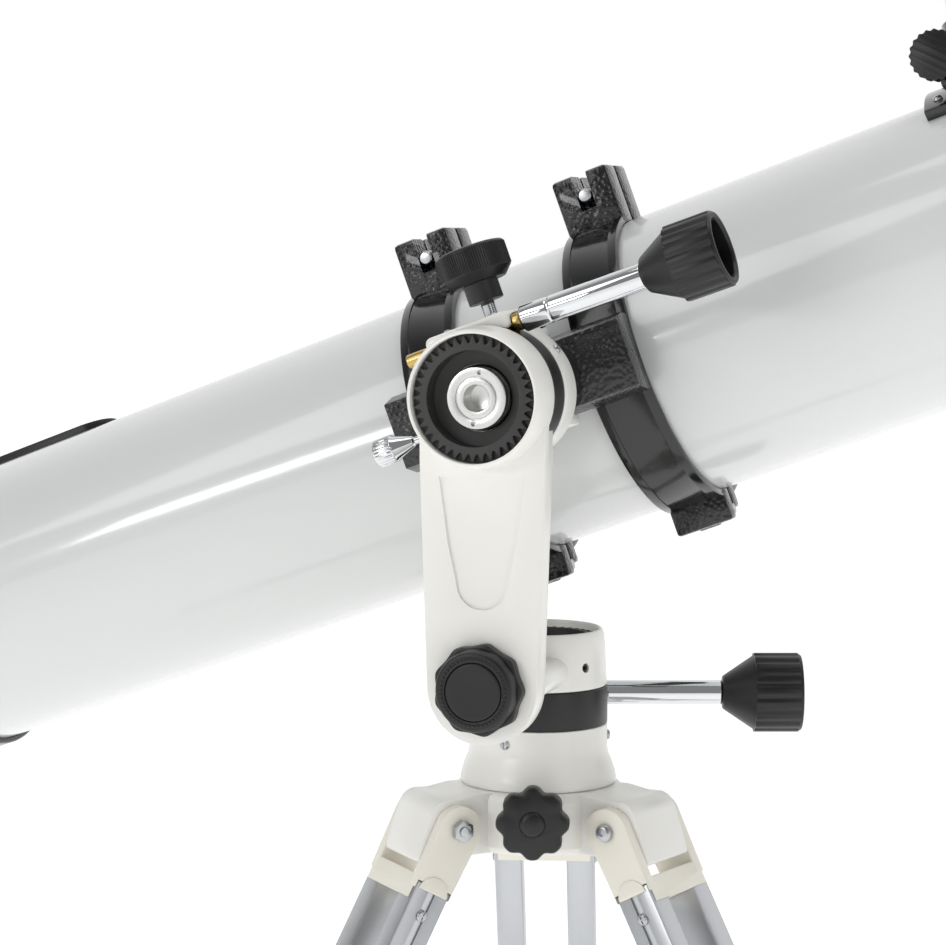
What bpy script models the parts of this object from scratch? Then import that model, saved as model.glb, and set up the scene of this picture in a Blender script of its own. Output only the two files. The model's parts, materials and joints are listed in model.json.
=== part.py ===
"""Reflector telescope on a slow-motion alt-azimuth head and a three-legged aluminium tripod.

Lengths are in millimetres and turned into metres as the meshes are made.  The tube points to
+X and up, the arm and its two big knobs face -Y, and the feet stand on Z = 0.
"""
import math

import bmesh
import bpy
from mathutils import Matrix, Vector

MM = 0.001
GAP = 0.3
FINENESS = 0.42                                   # share of each round piece's drawn steps

# Overall placing: the azimuth axis in plan, and the altitude axis above the floor.
AXIS_X, AXIS_Y = -0.7, -56.0
LEG_LENGTH = 800.0
SPLAY = math.radians(28.0)
HINGE_R = 61.5
HINGE_DROP = 235.0
HINGE_Z = LEG_LENGTH * math.cos(SPLAY)
ALT_Z = HINGE_Z + HINGE_DROP
LEG_TURN = math.radians(104.7)

# Tube and what it carries.
ELEVATION = math.radians(20.3)
TUBE_R, TUBE_WALL = 80.0, 2.0
TUBE_BACK, TUBE_FRONT = -435.0, 425.0
TUBE_DROP, TUBE_BEHIND = 5.3, 70.0
MIRROR_R = 66.0
FOCUSER_AT = 290.0
RING_AT = (-54.0, 47.0)
RING_T, RING_W = 4.5, 33.0

# Altitude head, as distances in front of the azimuth axis.
RIM, ARM_FRONT, ARM_BACK = 115.5, 99.0, 84.0
BARREL_R = 37.0
DRUM_BACK, SADDLE_BACK = 51.0, 39.0
BAR_BACK, BAR_HALF = 23.7, 22.0
WORM_UP, WORM_AT = 32.0, 78.0
ROD_TILT = math.radians(-1.0)
ROD_R, ALT_KNOB_R, AZ_KNOB_R = 7.0, 20.4, 22.3
ARM_PIVOT = 151.7

# Azimuth head heights below the altitude axis.
COLLAR_TOP, COLLAR_BASE = 132.0, 163.3
BAND_BASE, PLINTH_BASE = 184.3, 217.0
AZ_ROD_Z, AZ_ROD_BACK, AZ_ROD_END = 172.3, 24.0, 103.5
AZ_ROD_TURN = math.radians(18.7)
STAR_TURN = LEG_TURN + math.pi
STAR_Z = 229.0

# Legs: rail section, lengths measured down the leg from its hinge.
RAIL_IN, RAIL_OUT, RAIL_HALF = 13.0, 29.0, 10.7
RAIL_TOP, RAIL_END = 33.5, 440.0
CHEEK_IN, CHEEK_OUT = 21.8, 30.0
INNER_HALF_W, INNER_HALF_D = 12.6, 9.0
BRACE_AT, BRACE_IN, BRACE_LEN, BRACE_R = 250.0, 22.0, 250.0, 26.0

for old in list(bpy.data.objects):
    bpy.data.objects.remove(old)

PALETTE = {
    "tube_white": ((0.80, 0.81, 0.82), 0.18, 0.0),
    "head_white": ((0.82, 0.82, 0.79), 0.35, 0.0),
    "cream_plastic": ((0.80, 0.78, 0.66), 0.45, 0.0),
    "cast_black": ((0.02, 0.02, 0.022), 0.35, 0.0),
    "knob_black": ((0.018, 0.018, 0.018), 0.45, 0.0),
    "cap_grey": ((0.08, 0.075, 0.075), 0.6, 0.0),
    "chrome": ((0.78, 0.79, 0.80), 0.08, 1.0),
    "brass": ((0.62, 0.42, 0.12), 0.3, 1.0),
    "silver_alloy": ((0.80, 0.80, 0.79), 0.28, 1.0),
    "rail_aluminium": ((0.62, 0.63, 0.64), 0.38, 1.0),
    "foot_rubber": ((0.03, 0.03, 0.03), 0.8, 0.0),
    "mirror_glass": ((0.85, 0.87, 0.88), 0.03, 1.0),
    "dark_optics": ((0.015, 0.015, 0.017), 0.25, 0.0),
}


def finish(key):
    """Return the shared Principled material for one palette entry."""
    mat = bpy.data.materials.get(key)
    if mat is None:
        colour, rough, metal = PALETTE[key]
        mat = bpy.data.materials.new(key)
        mat.use_nodes = True
        shader = mat.node_tree.nodes["Principled BSDF"]
        shader.inputs["Base Color"].default_value = (*colour, 1.0)
        shader.inputs["Roughness"].default_value = rough
        shader.inputs["Metallic"].default_value = metal
    return mat


def shift(x=0.0, y=0.0, z=0.0):
    return Matrix.Translation((x * MM, y * MM, z * MM))


def turn(angle, axis):
    return Matrix.Rotation(angle, 4, axis)


# ------------------------------------------------------------------ shapes, as bmeshes in mm
def turned(profile, seg=48, place=None):
    """Spin (radius, height) points about Z; ends on the axis close into poles."""
    seg = max(8, round(seg * FINENESS))
    bm = bmesh.new()
    pts = [bm.verts.new((r * MM, 0.0, h * MM)) for r, h in profile]
    edges = [bm.edges.new(pair) for pair in zip(pts, pts[1:])]
    if profile[0][0] > 0.0 or profile[-1][0] > 0.0:
        edges.append(bm.edges.new((pts[-1], pts[0])))
    bmesh.ops.spin(bm, geom=pts + edges, cent=(0, 0, 0), axis=(0, 0, 1),
                   angle=2.0 * math.pi, steps=seg, use_merge=False, use_duplicate=False)
    bmesh.ops.remove_doubles(bm, verts=bm.verts, dist=1e-6)
    bmesh.ops.dissolve_degenerate(bm, dist=1e-7, edges=bm.edges)
    return closed(bm, place)


def prism(outline, lo, hi, place=None):
    """Extrude a flat outline from height lo to height hi."""
    bm = bmesh.new()
    face = bm.faces.new([bm.verts.new((x * MM, y * MM, lo * MM)) for x, y in outline])
    grown = bmesh.ops.extrude_face_region(bm, geom=[face])
    tops = [g for g in grown["geom"] if isinstance(g, bmesh.types.BMVert)]
    bmesh.ops.translate(bm, verts=tops, vec=(0, 0, (hi - lo) * MM))
    return closed(bm, place)


def block(x0, x1, y0, y1, z0, z1, place=None):
    return prism([(x0, y0), (x1, y0), (x1, y1), (x0, y1)], z0, z1, place)


def closed(bm, place=None):
    bmesh.ops.recalc_face_normals(bm, faces=bm.faces)
    if place is not None:
        bm.transform(place)
    return bm


def arc(cx, cy, r, start, end, steps):
    """Points on an arc, angles in degrees."""
    return [(cx + r * math.cos(math.radians(start + (end - start) * i / steps)),
             cy + r * math.sin(math.radians(start + (end - start) * i / steps)))
            for i in range(steps + 1)]


def rod(r, lo, hi, seg=24, chamfer=0.5, place=None):
    """A round bar along Z, its ends chamfered."""
    c = chamfer
    if c == 0:
        return turned([(0, lo), (r, lo), (r, hi), (0, hi)], seg, place)
    return turned([(0, lo), (r - c, lo), (r, lo + c), (r, hi - c), (r - c, hi), (0, hi)], seg, place)


def ring(r_in, r_out, lo, hi, seg=48, place=None):
    return turned([(r_in, lo), (r_out, lo), (r_out, hi), (r_in, hi)], seg, place)


def lobed(r, depth, lobes, lo, hi, per=6, place=None):
    """A grip outline whose radius dips between its lobes."""
    count = lobes * per
    outline = []
    for i in range(count):
        a = 2.0 * math.pi * i / count
        rad = r - depth * (0.5 - 0.5 * math.cos(lobes * a)) ** 0.8
        outline.append((rad * math.cos(a), rad * math.sin(a)))
    return prism(outline, lo, hi, place)


def mesh_of(name, bm, smooth=True):
    mesh = bpy.data.meshes.new(name)
    bm.to_mesh(mesh)
    bm.free()
    if smooth:
        mesh.shade_smooth()
        mesh.set_sharp_from_angle(angle=math.radians(32.0))
    return mesh


def node(name, key, place, body, add=(), cut=()):
    """Make one named object; every add is fused to the body and every cut is taken away."""
    obj = bpy.data.objects.new(name, mesh_of(name, body))
    obj.data.materials.append(finish(key))
    obj.matrix_world = place
    bpy.context.scene.collection.objects.link(obj)
    for mode, shapes in (("UNION", add), ("DIFFERENCE", cut)):
        for i, bm in enumerate(shapes):
            tool = bpy.data.objects.new(f"{name}_{mode.lower()}_{i}", mesh_of(name + "_tool", bm))
            tool.matrix_world = place
            tool.hide_render = True
            tool.display_type = "WIRE"
            bpy.context.scene.collection.objects.link(tool)
            mod = obj.modifiers.new(f"{mode.lower()}_{i}", "BOOLEAN")
            mod.operation = mode
            mod.solver = "EXACT"
            mod.object = tool
    return obj


# ------------------------------------------------------------------ frames
FRONT = turn(math.pi / 2, "X")                    # local Z runs towards the viewer
HEAD = shift(AXIS_X, AXIS_Y, ALT_Z)               # azimuth axis, at the altitude axis' height
ALT = HEAD @ FRONT
TILTED = HEAD @ turn(-ELEVATION, "Y") @ FRONT     # local X runs up the tube
ALONG = turn(math.pi / 2, "Y")                    # lathe axis laid along local X
TUBE = TILTED @ shift(0, -TUBE_DROP, -TUBE_BEHIND) @ ALONG


def leg_frame(i):
    """Frame of leg i at its hinge: Z up the leg, X outward, Y along the hinge."""
    return (HEAD @ turn(LEG_TURN + i * 2.0 * math.pi / 3.0, "Z")
            @ shift(HINGE_R, 0, -HINGE_DROP) @ turn(-SPLAY, "Y"))


def leg_point(x, s):
    """Radius and height above the hinge of a point x outward and s down the leg."""
    return (HINGE_R + x * math.cos(SPLAY) + s * math.sin(SPLAY),
            x * math.sin(SPLAY) - s * math.cos(SPLAY))


# ------------------------------------------------------------------ tripod
def tripod_hub():
    base = HEAD @ shift(0, 0, -PLINTH_BASE - GAP)
    body = turned([(0, 0), (42, 0), (45.5, -1.5), (47, -5), (47, -30), (45, -33.5), (0, -33.5)], 48)
    top = -(HINGE_DROP - PLINTH_BASE - GAP)
    lug = ([(20, -0.2)] + [(46, -0.4), (59, -2.4)]
           + arc(HINGE_R + 3.5, -13.0, 11.0, 82, 12, 5)
           + [(HINGE_R + 19, top - 6), (HINGE_R + 22, top - 16), (HINGE_R + 21, top - 17.5),
              (HINGE_R - 12, top - 16), (20, -33.2)])
    lugs, bores = [], []
    for i in range(3):
        spoke = turn(LEG_TURN + i * 2.0 * math.pi / 3.0, "Z")
        lugs.append(prism(lug, -21.5, 21.5, spoke @ FRONT))
        bores.append(rod(4.0, -25, 25, 16, 0, spoke @ shift(HINGE_R, 0, top) @ FRONT))
    boss = rod(10.5, 30.0, 50.0, 24, 0.8, shift(0, 0, -(STAR_Z - PLINTH_BASE - GAP))
               @ turn(STAR_TURN, "Z") @ ALONG)
    bore = rod(4.3, 38.0, 56.0, 16, 0.2, shift(0, 0, -(STAR_Z - PLINTH_BASE - GAP))
               @ turn(STAR_TURN, "Z") @ ALONG)
    node("tripod_hub", "head_white", base, body, lugs + [boss], bores + [bore])


def leg(i):
    tag = f"_{i + 1}"
    frame = leg_frame(i)
    side = frame @ FRONT                          # X outward, Y up the leg, Z along the hinge

    cheek = (arc(0, 0, 12.7, 180, 0, 10) + [(11.4, -37.5), (-11.4, -37.5)])
    body = prism([(-11.4, -30.5), (11.4, -30.5), (11.4, -44.0), (-11.4, -44.0)], -27, 27)
    cheeks = [prism(cheek, CHEEK_IN, CHEEK_OUT), prism(cheek, -CHEEK_OUT, -CHEEK_IN)]
    pins = [rod(3.7, 6, CHEEK_IN + 2, 16, 0.2), rod(3.7, -CHEEK_IN - 2, -6, 16, 0.2)]
    g = GAP
    sockets = [block(-RAIL_HALF - g, RAIL_HALF + g, -60, -RAIL_TOP + g, lo - g, hi + g)
               for lo, hi in ((RAIL_IN, RAIL_OUT), (-RAIL_OUT, -RAIL_IN))]
    node("leg_bracket" + tag, "cream_plastic", side, body, cheeks + pins, sockets)

    top, end = -RAIL_TOP, -RAIL_END
    body = block(-RAIL_HALF, RAIL_HALF, end, top, RAIL_IN, RAIL_OUT)
    far = block(-RAIL_HALF, RAIL_HALF, end, top, -RAIL_OUT, -RAIL_IN)
    plate = block(-RAIL_HALF - 2.0, -RAIL_HALF + 1.0, -BRACE_AT - 18, -BRACE_AT + 18,
                  -RAIL_OUT + 2, RAIL_OUT - 2)
    ear = ([(-RAIL_HALF - 1, -BRACE_AT + 12)] + arc(-BRACE_IN, -BRACE_AT, 6, 90, 270, 8)
           + [(-RAIL_HALF - 1, -BRACE_AT - 12)])
    ears = [prism(ear, 5.3, 8.6), prism(ear, -8.6, -5.3)]
    flute = [(-2.2, -500), (2.2, -500), (2.2, 0), (-2.2, 0)]
    flutes = [prism(flute, RAIL_OUT - 1.6, RAIL_OUT + 3), prism(flute, -RAIL_OUT - 3, -RAIL_OUT + 1.6)]
    pin = rod(2.4, -12, 12, 12, 0.1, shift(-BRACE_IN, -BRACE_AT, 0))
    node("leg_rails" + tag, "rail_aluminium", side, body, [far, plate] + ears, flutes + [pin])

    body = block(-14.5, 14.5, -466, -428, -32.5, 32.5)
    sockets = [block(-RAIL_HALF - g, RAIL_HALF + g, -RAIL_END - g, -400, lo - g, hi + g)
               for lo, hi in ((RAIL_IN, RAIL_OUT), (-RAIL_OUT, -RAIL_IN))]
    bore = block(-INNER_HALF_D - g, INNER_HALF_D + g, -500, -400, -INNER_HALF_W - g, INNER_HALF_W + g)
    boss = rod(8.5, 12, 21, 24, 0.8, shift(0, -454, 0) @ ALONG)
    hole = rod(3.4, 6, 30, 16, 0.1, shift(0, -454, 0) @ ALONG)
    node("leg_clamp" + tag, "cream_plastic", side, body, [boss], sockets + [bore, hole])

    knob = side @ shift(0, -454, 0) @ ALONG
    node("leg_clamp_knob" + tag, "knob_black", knob, lobed(13.0, 2.4, 6, 21.4, 33.0, 6),
         [rod(3.0, 9.6, 23, 16, 0.3), rod(7.5, 31.0, 35.5, 24, 1.2)])

    node("leg_inner" + tag, "rail_aluminium", side,
         block(-INNER_HALF_D, INNER_HALF_D, -776, -330, -INNER_HALF_W, INNER_HALF_W), [],
         [block(-3.5, 3.5, -560, -300, INNER_HALF_W - 1.2, INNER_HALF_W + 3),
          block(-3.5, 3.5, -560, -300, -INNER_HALF_W - 3, -INNER_HALF_W + 1.2)])

    def floor_at(x):
        return -(HINGE_Z + x * math.sin(SPLAY)) / math.cos(SPLAY)

    outline = [(-12, -752), (-15, floor_at(-15)), (15, floor_at(15)), (12, -752)]
    socket = block(-INNER_HALF_D - g, INNER_HALF_D + g, -776.3, -700, -INNER_HALF_W - g,
                   INNER_HALF_W + g)
    node("leg_foot" + tag, "foot_rubber", side, prism(outline, -17, 17), [], [socket])


def brace_angle():
    """Angle of a brace arm from the vertical, from the pivots it joins."""
    r, _ = leg_point(-BRACE_IN, BRACE_AT)
    return math.asin((r - BRACE_R) / BRACE_LEN)


def brace_arm(i):
    """Flat brace from the leg's ears down to the tray, hinged on the ears."""
    lean = brace_angle()
    pivot = (leg_frame(i) @ shift(-BRACE_IN, 0, -BRACE_AT) @ turn(SPLAY + lean, "Y") @ FRONT)
    outline = arc(0, 0, 5.5, 0, 180, 8) + arc(0, -BRACE_LEN, 6.6, 180, 360, 8)
    body = prism(outline, -4.8, 4.8)
    groove = [(-2.2, -BRACE_LEN + 22), (2.2, -BRACE_LEN + 22), (2.2, -22), (-2.2, -22)]
    node(f"brace_arm_{i + 1}", "rail_aluminium", pivot, body, [rod(2.1, -8.4, 8.4, 12, 0.2)],
         [prism(groove, 3.6, 6), prism(groove, -6, -3.6),
          rod(4.4, -8, 8, 20, 0, shift(0, -BRACE_LEN, 0))])


def tray():
    """Three-lobed accessory tray with eyepiece holes, on lugs that take the brace arms."""
    _, dz = leg_point(-BRACE_IN, BRACE_AT)
    drop = dz - BRACE_LEN * math.cos(brace_angle())
    place = HEAD @ shift(0, 0, -HINGE_DROP + drop) @ turn(LEG_TURN, "Z")
    outline = []
    for i in range(48):
        a = 2.0 * math.pi * i / 48
        lobe = 0.5 + 0.5 * math.cos(3.0 * (a - math.pi / 3.0))
        outline.append(((30.0 + 48.0 * lobe ** 0.7) * math.cos(a),
                        (30.0 + 48.0 * lobe ** 0.7) * math.sin(a)))
    body = prism(outline, 8.0, 12.0)
    adds, cuts = [], []
    for i in range(3):
        spoke = turn(i * 2.0 * math.pi / 3.0, "Z")
        for y in (-10.4, 7.0):
            adds.append(block(BRACE_R - 7, BRACE_R + 3.4, y, y + 3.4, -3.0, 9.0, spoke))
        adds.append(rod(2.0, -8, 8, 12, 0.1, spoke @ shift(BRACE_R, 0, 0) @ FRONT))
        cuts.append(block(17.0, 60.0, -6.2, 6.2, 4.0, 16.0, spoke))
        cuts.append(rod(16.2, 0, 20, 32, 0, turn((i + 0.5) * 2.0 * math.pi / 3.0, "Z")
                        @ shift(54, 0, 0)))
    node("accessory_tray", "knob_black", place, body, adds, cuts)


def star_knob():
    place = HEAD @ shift(0, 0, -STAR_Z) @ turn(STAR_TURN, "Z") @ ALONG
    node("star_knob", "knob_black", place, lobed(19.7, 3.0, 8, 56.0, 68.0, 6),
         [rod(4.0, 41, 58, 16, 0.3), rod(8.0, 50.4, 57, 24, 0.6), rod(7.0, 66.0, 70.5, 24, 1.8)])


# ------------------------------------------------------------------ azimuth head
def azimuth_head():
    node("head_plinth", "head_white", HEAD, turned(
        [(0, -PLINTH_BASE), (43.0, -PLINTH_BASE), (43.2, -215.0), (42.6, -211.5), (40.6, -205.5),
         (38.8, -201.5), (38.2, -197.0), (38.2, -185.1), (37.7, -184.6), (0, -184.6)], 64))

    shaft = HEAD
    along = (turn(AZ_ROD_TURN, "Z") @ shift(0, AZ_ROD_BACK, -AZ_ROD_Z) @ ALONG)
    body = turned([(0, -184.3), (37.7, -184.3), (38.2, -183.8), (38.2, -164.1), (37.7, -163.6),
                   (0, -163.6)], 64)
    snout = rod(8.5, 4.0, 33.0, 24, 0.6, along)
    bore = rod(7.4, 26.0, 40.0, 24, 0.1, along)
    node("azimuth_band", "knob_black", shaft, body, [snout], [bore])

    shell = [(0, -163.3), (37.4, -163.3), (38.0, -162.6), (37.6, -158.0), (37.3, -150.0),
             (36.9, -142.0), (36.3, -135.5), (35.2, -132.6), (34.2, -132.0), (33.2, -132.8),
             (33.0, -148.0), (0, -148.0)]
    tongue = (arc(20, 0, 8.0, -90, 90, 8) + arc(-20, 0, 8.0, 90, 270, 8))
    neck = prism(tongue, 34.5, ARM_BACK - GAP, shift(0, 0, -ARM_PIVOT) @ FRONT)
    bore = rod(6.4, 60, 90, 16, 0.1, shift(0, 0, -ARM_PIVOT) @ FRONT)
    screw = rod(2.6, 34.0, 40, 16, 0.1, shift(0, 0, -150.9) @ turn(math.radians(-29), "Z") @ ALONG)
    node("azimuth_collar", "head_white", shaft, turned(shell, 64), [neck], [bore, screw])

    toothed("azimuth_gear_ring", HEAD @ shift(0, 0, -147.7), [
        (0, 0), (32.7, 0), (32.7, 9.0), (26.5, 9.0), (26.5, 6.0), (24.5, 7.4), (9.0, 7.4),
        (8.0, 6.6), (0, 6.6)], 26.5, 32.7, 12.0)

    rod_place = HEAD @ along
    node("azimuth_rod", "chrome", rod_place, rod(ROD_R, 26.6, AZ_ROD_END, 32, 0.8))
    knurled_knob("azimuth_knob", rod_place, AZ_ROD_END + GAP, AZ_KNOB_R)


def toothed(name, place, profile, r_in, r_out, height):
    """A turned ring with a crown of round notches on its outer face."""
    outline = []
    count = 40
    for i in range(count * 2):
        a = math.pi * i / count
        rad = r_in + 1.6 if i % 2 else r_out - 0.8
        outline.append((rad * math.cos(a), rad * math.sin(a)))
    crown = prism(outline, height - 4.0, height)
    well = rod(r_in + 0.6, height - 4.5, height + 2, 80, 0)
    node(name, "cap_grey", place, turned(profile, 80), [crown], [well])


def knurled_knob(name, place, start, radius):
    """Hollow ribbed grip with a cone at its rod end."""
    length, cone = 44.0, 16.0
    s = start
    body = turned([(0, s), (9.5, s), (radius - 2.0, s + cone), (radius - 0.4, s + cone + 3.0),
                   (radius - 0.4, s + length - 1.0), (radius - 1.4, s + length),
                   (radius - 3.6, s + length), (radius - 4.4, s + length - 1.2),
                   (radius - 5.0, s + cone + 12.0), (6.0, s + cone + 10.0), (0, s + cone + 10.0)], 54)
    ribs = []
    count = 18
    for i in range(count * 2):
        a = math.pi * i / count
        rad = radius if i % 2 else radius - 1.1
        ribs.append((rad * math.cos(a), rad * math.sin(a)))
    sleeve = prism(ribs, s + cone + 1.0, s + length - 1.6)
    inside = rod(radius - 4.7, s + cone + 11.0, s + length + 4, 54, 0)
    node(name, "knob_black", place, body, [sleeve], [inside])


# ------------------------------------------------------------------ arm and altitude head
def arm():
    pivot = ALT @ shift(0, -ARM_PIVOT, 0)
    sides = [(30.0 + 4.0 * z / 118.0, z) for z in (40.0, 80.0, 118.0)]
    foot = arc(0, 0, 30.0, 180, 360, 14)
    mirrored = [(-x, z) for x, z in reversed(sides)]
    hollow = arc(0, ARM_PIVOT, 38.0, 333.5, 206.5, 10)
    body = prism(foot + sides + hollow + mirrored, ARM_BACK, 93.0)
    seat = arc(0, ARM_PIVOT, 35.0, 346.5, 193.5, 14)
    face = prism(foot + sides + seat + mirrored, 91.0, ARM_FRONT)
    barrel = turned([(17.3, 90.2), (36.2, 90.2), (BARREL_R, 91.0), (BARREL_R, 94.0), (36.7, 103.0),
                     (36.1, 111.0), (35.5, 114.6), (34.6, RIM), (33.4, RIM), (33.4, 100.0),
                     (17.3, 100.0)], 72, shift(0, ARM_PIVOT, 0))
    pocket = ([(24.0, 105.0), (20.6, 80.0)] + arc(0, 57.0, 17.4, 0, -180, 8)
              + [(-20.6, 80.0), (-24.0, 105.0)])
    dish = prism(pocket, ARM_FRONT - 1.6, ARM_FRONT + 4)
    stud = rod(5.3, 60, 130, 24, 0)
    node("arm", "head_white", pivot, body, [face, barrel], [dish, stud])

    node("arm_clamp_knob", "knob_black", pivot,
         lobed(24.4, 1.6, 9, ARM_FRONT + GAP, ARM_FRONT + 7.5, 8),
         [turned([(0, 104.0), (22.6, 104.0), (21.2, 111.0), (20.6, 112.6), (19.6, 113.2),
                  (17.6, 113.2), (17.2, 112.2), (0, 112.2)], 48),
          rod(5.0, 62.0, 101.0, 24, 0.5)])
    toothed("altitude_gear_ring", ALT @ shift(0, 0, 100.3), [
        (25.0, 0), (33.1, 0), (33.1, 10.2), (25.0, 10.2)], 25.0, 33.1, 13.2)
    node("altitude_axle", "silver_alloy", ALT, turned(
        [(0, 54.0), (15.0, 54.0), (15.0, 97.0), (16.2, 98.0), (16.2, 107.3), (15.8, 107.7),
         (11.2, 107.7), (11.0, 107.3), (10.7, 107.7), (7.2, 107.7), (6.8, 107.2), (6.8, 96.0),
         (0, 96.0)], 48))
    node("altitude_band", "knob_black", TILTED, turned(
        [(15.4, 70.3), (36.0, 70.3), (36.2, 70.6), (36.2, 89.4), (36.0, 89.8), (15.4, 89.8)], 64), [],
        [block(-50, 50, WORM_UP - 4.6, WORM_UP + 8, WORM_AT - 4.6, WORM_AT + 4.6)])


def saddle():
    """White drum and black-bar clamp that turn with the tube, with the worm box on top."""
    body = turned([(15.4, DRUM_BACK), (36.4, DRUM_BACK), (37.0, 51.6), (37.0, 68.8), (36.0, 70.0),
                   (15.4, 70.0)], 64)
    plate = block(-26, 26, -27.5, 27.5, SADDLE_BACK - 8.0, DRUM_BACK + 1.0)
    box = block(-24.5, 23.5, 30.0, 39.5, 62.0, 86.0)
    ridge = prism([(-26.4, 39.5), (-26.0, 37.4), (-20, 22.0), (20, 22.0), (25.0, 37.0),
                   (23.0, 39.5)], 52.5, 69.0)
    boss = block(-9, 12, 24, 36, 40, 50.0)
    slot = prism([(-60, -BAR_HALF - 0.4), (60, -BAR_HALF - 0.4), (60, BAR_HALF + 0.4),
                  (-60, BAR_HALF + 0.4)], 20, SADDLE_BACK - 0.1)
    bore = rod(4.4, -60, 60, 20, 0, shift(0, WORM_UP, WORM_AT) @ ALONG)
    room = ring(10.0, 36.6, 70.1, 87.0, 64)
    lock = rod(4.6, 20, 60, 40, 0, shift(2.5, 0, 45) @ turn(-math.pi / 2, "X"))
    pinch = rod(2.4, 10, 60, 16, 0, shift(0, -7.0, 61) @ turn(-math.pi / 2, "Y"))
    node("saddle", "head_white", TILTED, body, [plate, ridge, box, boss], [slot, bore, room, lock, pinch])

    place = TILTED @ shift(0, WORM_UP, WORM_AT) @ ALONG
    node("worm_shaft", "brass", place, turned(
        [(0, -39), (3.2, -39), (3.8, -38.4), (3.8, 24.0), (5.2, 24.2), (5.2, 28.0), (2.9, 28.3),
         (2.9, 33.5), (0, 33.5)], 24))
    tip = TILTED @ shift(28.6, WORM_UP, WORM_AT) @ turn(ROD_TILT, "Z") @ ALONG
    node("altitude_rod", "chrome", tip, turned(
        [(0, 12.0), (3.9, 12.0), (3.9, 0), (6.2, 0), (ROD_R, 0.8), (ROD_R, 68.4), (6.2, 69.2),
         (0, 69.2)], 32))
    knurled_knob("altitude_knob", tip, 69.5, ALT_KNOB_R)

    knob = TILTED @ shift(2.5, 0, 45) @ turn(-math.pi / 2, "X")
    node("saddle_lock_knob", "knob_black", knob, turned(
        [(0, 23.0), (4.0, 23.0), (4.0, 50.5), (9.6, 50.5), (9.6, 61.0), (14.5, 61.0), (19.6, 66.0),
         (19.6, 79.0), (18.6, 80.0), (16.0, 80.6), (0, 80.6)], 48))
    screw = TILTED @ shift(0, -7.0, 61) @ turn(-math.pi / 2, "Y")
    node("tension_screw", "chrome", screw, turned(
        [(0, 17.0), (2.1, 17.0), (2.1, 56.0), (3.0, 57.0), (6.4, 67.0), (7.7, 68.4), (7.7, 78.4),
         (7.0, 79.4), (0, 79.4)], 24))


# ------------------------------------------------------------------ rings and bar
def bar_and_rings():
    taper = [(-BAR_HALF + 3.5, SADDLE_BACK - 0.6), (BAR_HALF - 3.5, SADDLE_BACK - 0.6),
             (BAR_HALF, BAR_BACK), (-BAR_HALF, BAR_BACK)]
    body = prism([(y, z) for y, z in taper], -75.0, 65.0,
                 turn(math.pi / 2, "Y") @ turn(math.pi / 2, "Z"))
    node("dovetail_bar", "cast_black", TILTED, body)

    for tag, at in zip(("rear", "front"), RING_AT):
        place = TUBE @ shift(0, 0, at)
        inner, outer = TUBE_R + GAP, TUBE_R + GAP + RING_T
        # Local -X faces the viewer, +Y is up: the fixed half spans the viewer's side.
        half = RING_W / 2
        near = ([(-outer * math.sin(math.radians(a)), outer * math.cos(math.radians(a)))
                 for a in range(3, 178, 9)]
                + [(-inner * math.sin(math.radians(a)), inner * math.cos(math.radians(a)))
                   for a in range(174, 2, -9)])
        body = prism(near, -half, half)
        up = outer + TUBE_DROP
        foot = block(-(TUBE_BEHIND + BAR_BACK - GAP), -inner + 3.0, TUBE_DROP - 22, TUBE_DROP + 22,
                     -half, half)
        lug = block(-20.0, -1.2, inner - 2.0, outer + 29.0, -17, 17)
        stub = block(-12.5, -1.2, -outer - 13.0, -inner + 1.5, -17, 17)
        slot = block(-26, 2, outer + 8.0, outer + 40.0, -4.6, 4.6)
        clear = rod(inner, -60, 60, 96, 0)
        knuckle = rod(7.3, -6.2, 6.2, 28, 0, shift(0, -outer - 7.5, 0))
        pin = rod(3.5, -30, 30, 16, 0, shift(0, -outer - 7.5, 0))
        node(f"ring_base_{tag}", "cast_black", place, body, [foot, lug, stub],
             [clear, slot, knuckle, pin])

        hinge = place @ shift(0, -outer - 7.5, 0)
        far = [(-x, y) for x, y in near]
        body = prism(far, -half, half, shift(0, outer + 7.5, 0))
        lug = block(1.2, 20.0, inner + outer + 5.5, 2 * outer + 36.5, -17, 17)
        stub = block(1.2, 12.5, 0.0, outer - inner + 9.0, -17, 17)
        slot = block(-2, 30, 2 * outer + 15.5, 2 * outer + 47.5, -4.6, 4.6)
        eye = rod(6.5, -5.9, 5.9, 20, 0.4)
        web = block(0, 5.0, -3.5, 3.5, -5.9, 5.9)
        axle = rod(3.0, -16.8, 16.8, 16, 0.3)
        clear = rod(inner, -60, 60, 96, 0, shift(0, outer + 7.5, 0))
        node(f"ring_lid_{tag}", "cast_black", hinge, body, [lug, stub, web, eye, axle], [clear, slot])

        # Clamp bolt along the viewing direction, through both open slots.
        bolt = place @ shift(0, outer + 16.0, 0) @ turn(-math.pi / 2, "Y")
        node(f"ring_bolt_{tag}", "chrome", bolt, rod(4.0, -28.0, 20.8, 20, 0.6),
             [lobed(9.5, 2.0, 6, -28.5, -20.3, 4)])


# ------------------------------------------------------------------ tube assembly
UPWARD = turn(-math.pi / 2, "X")                  # lathe axis along the tube frame's +Y


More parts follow.
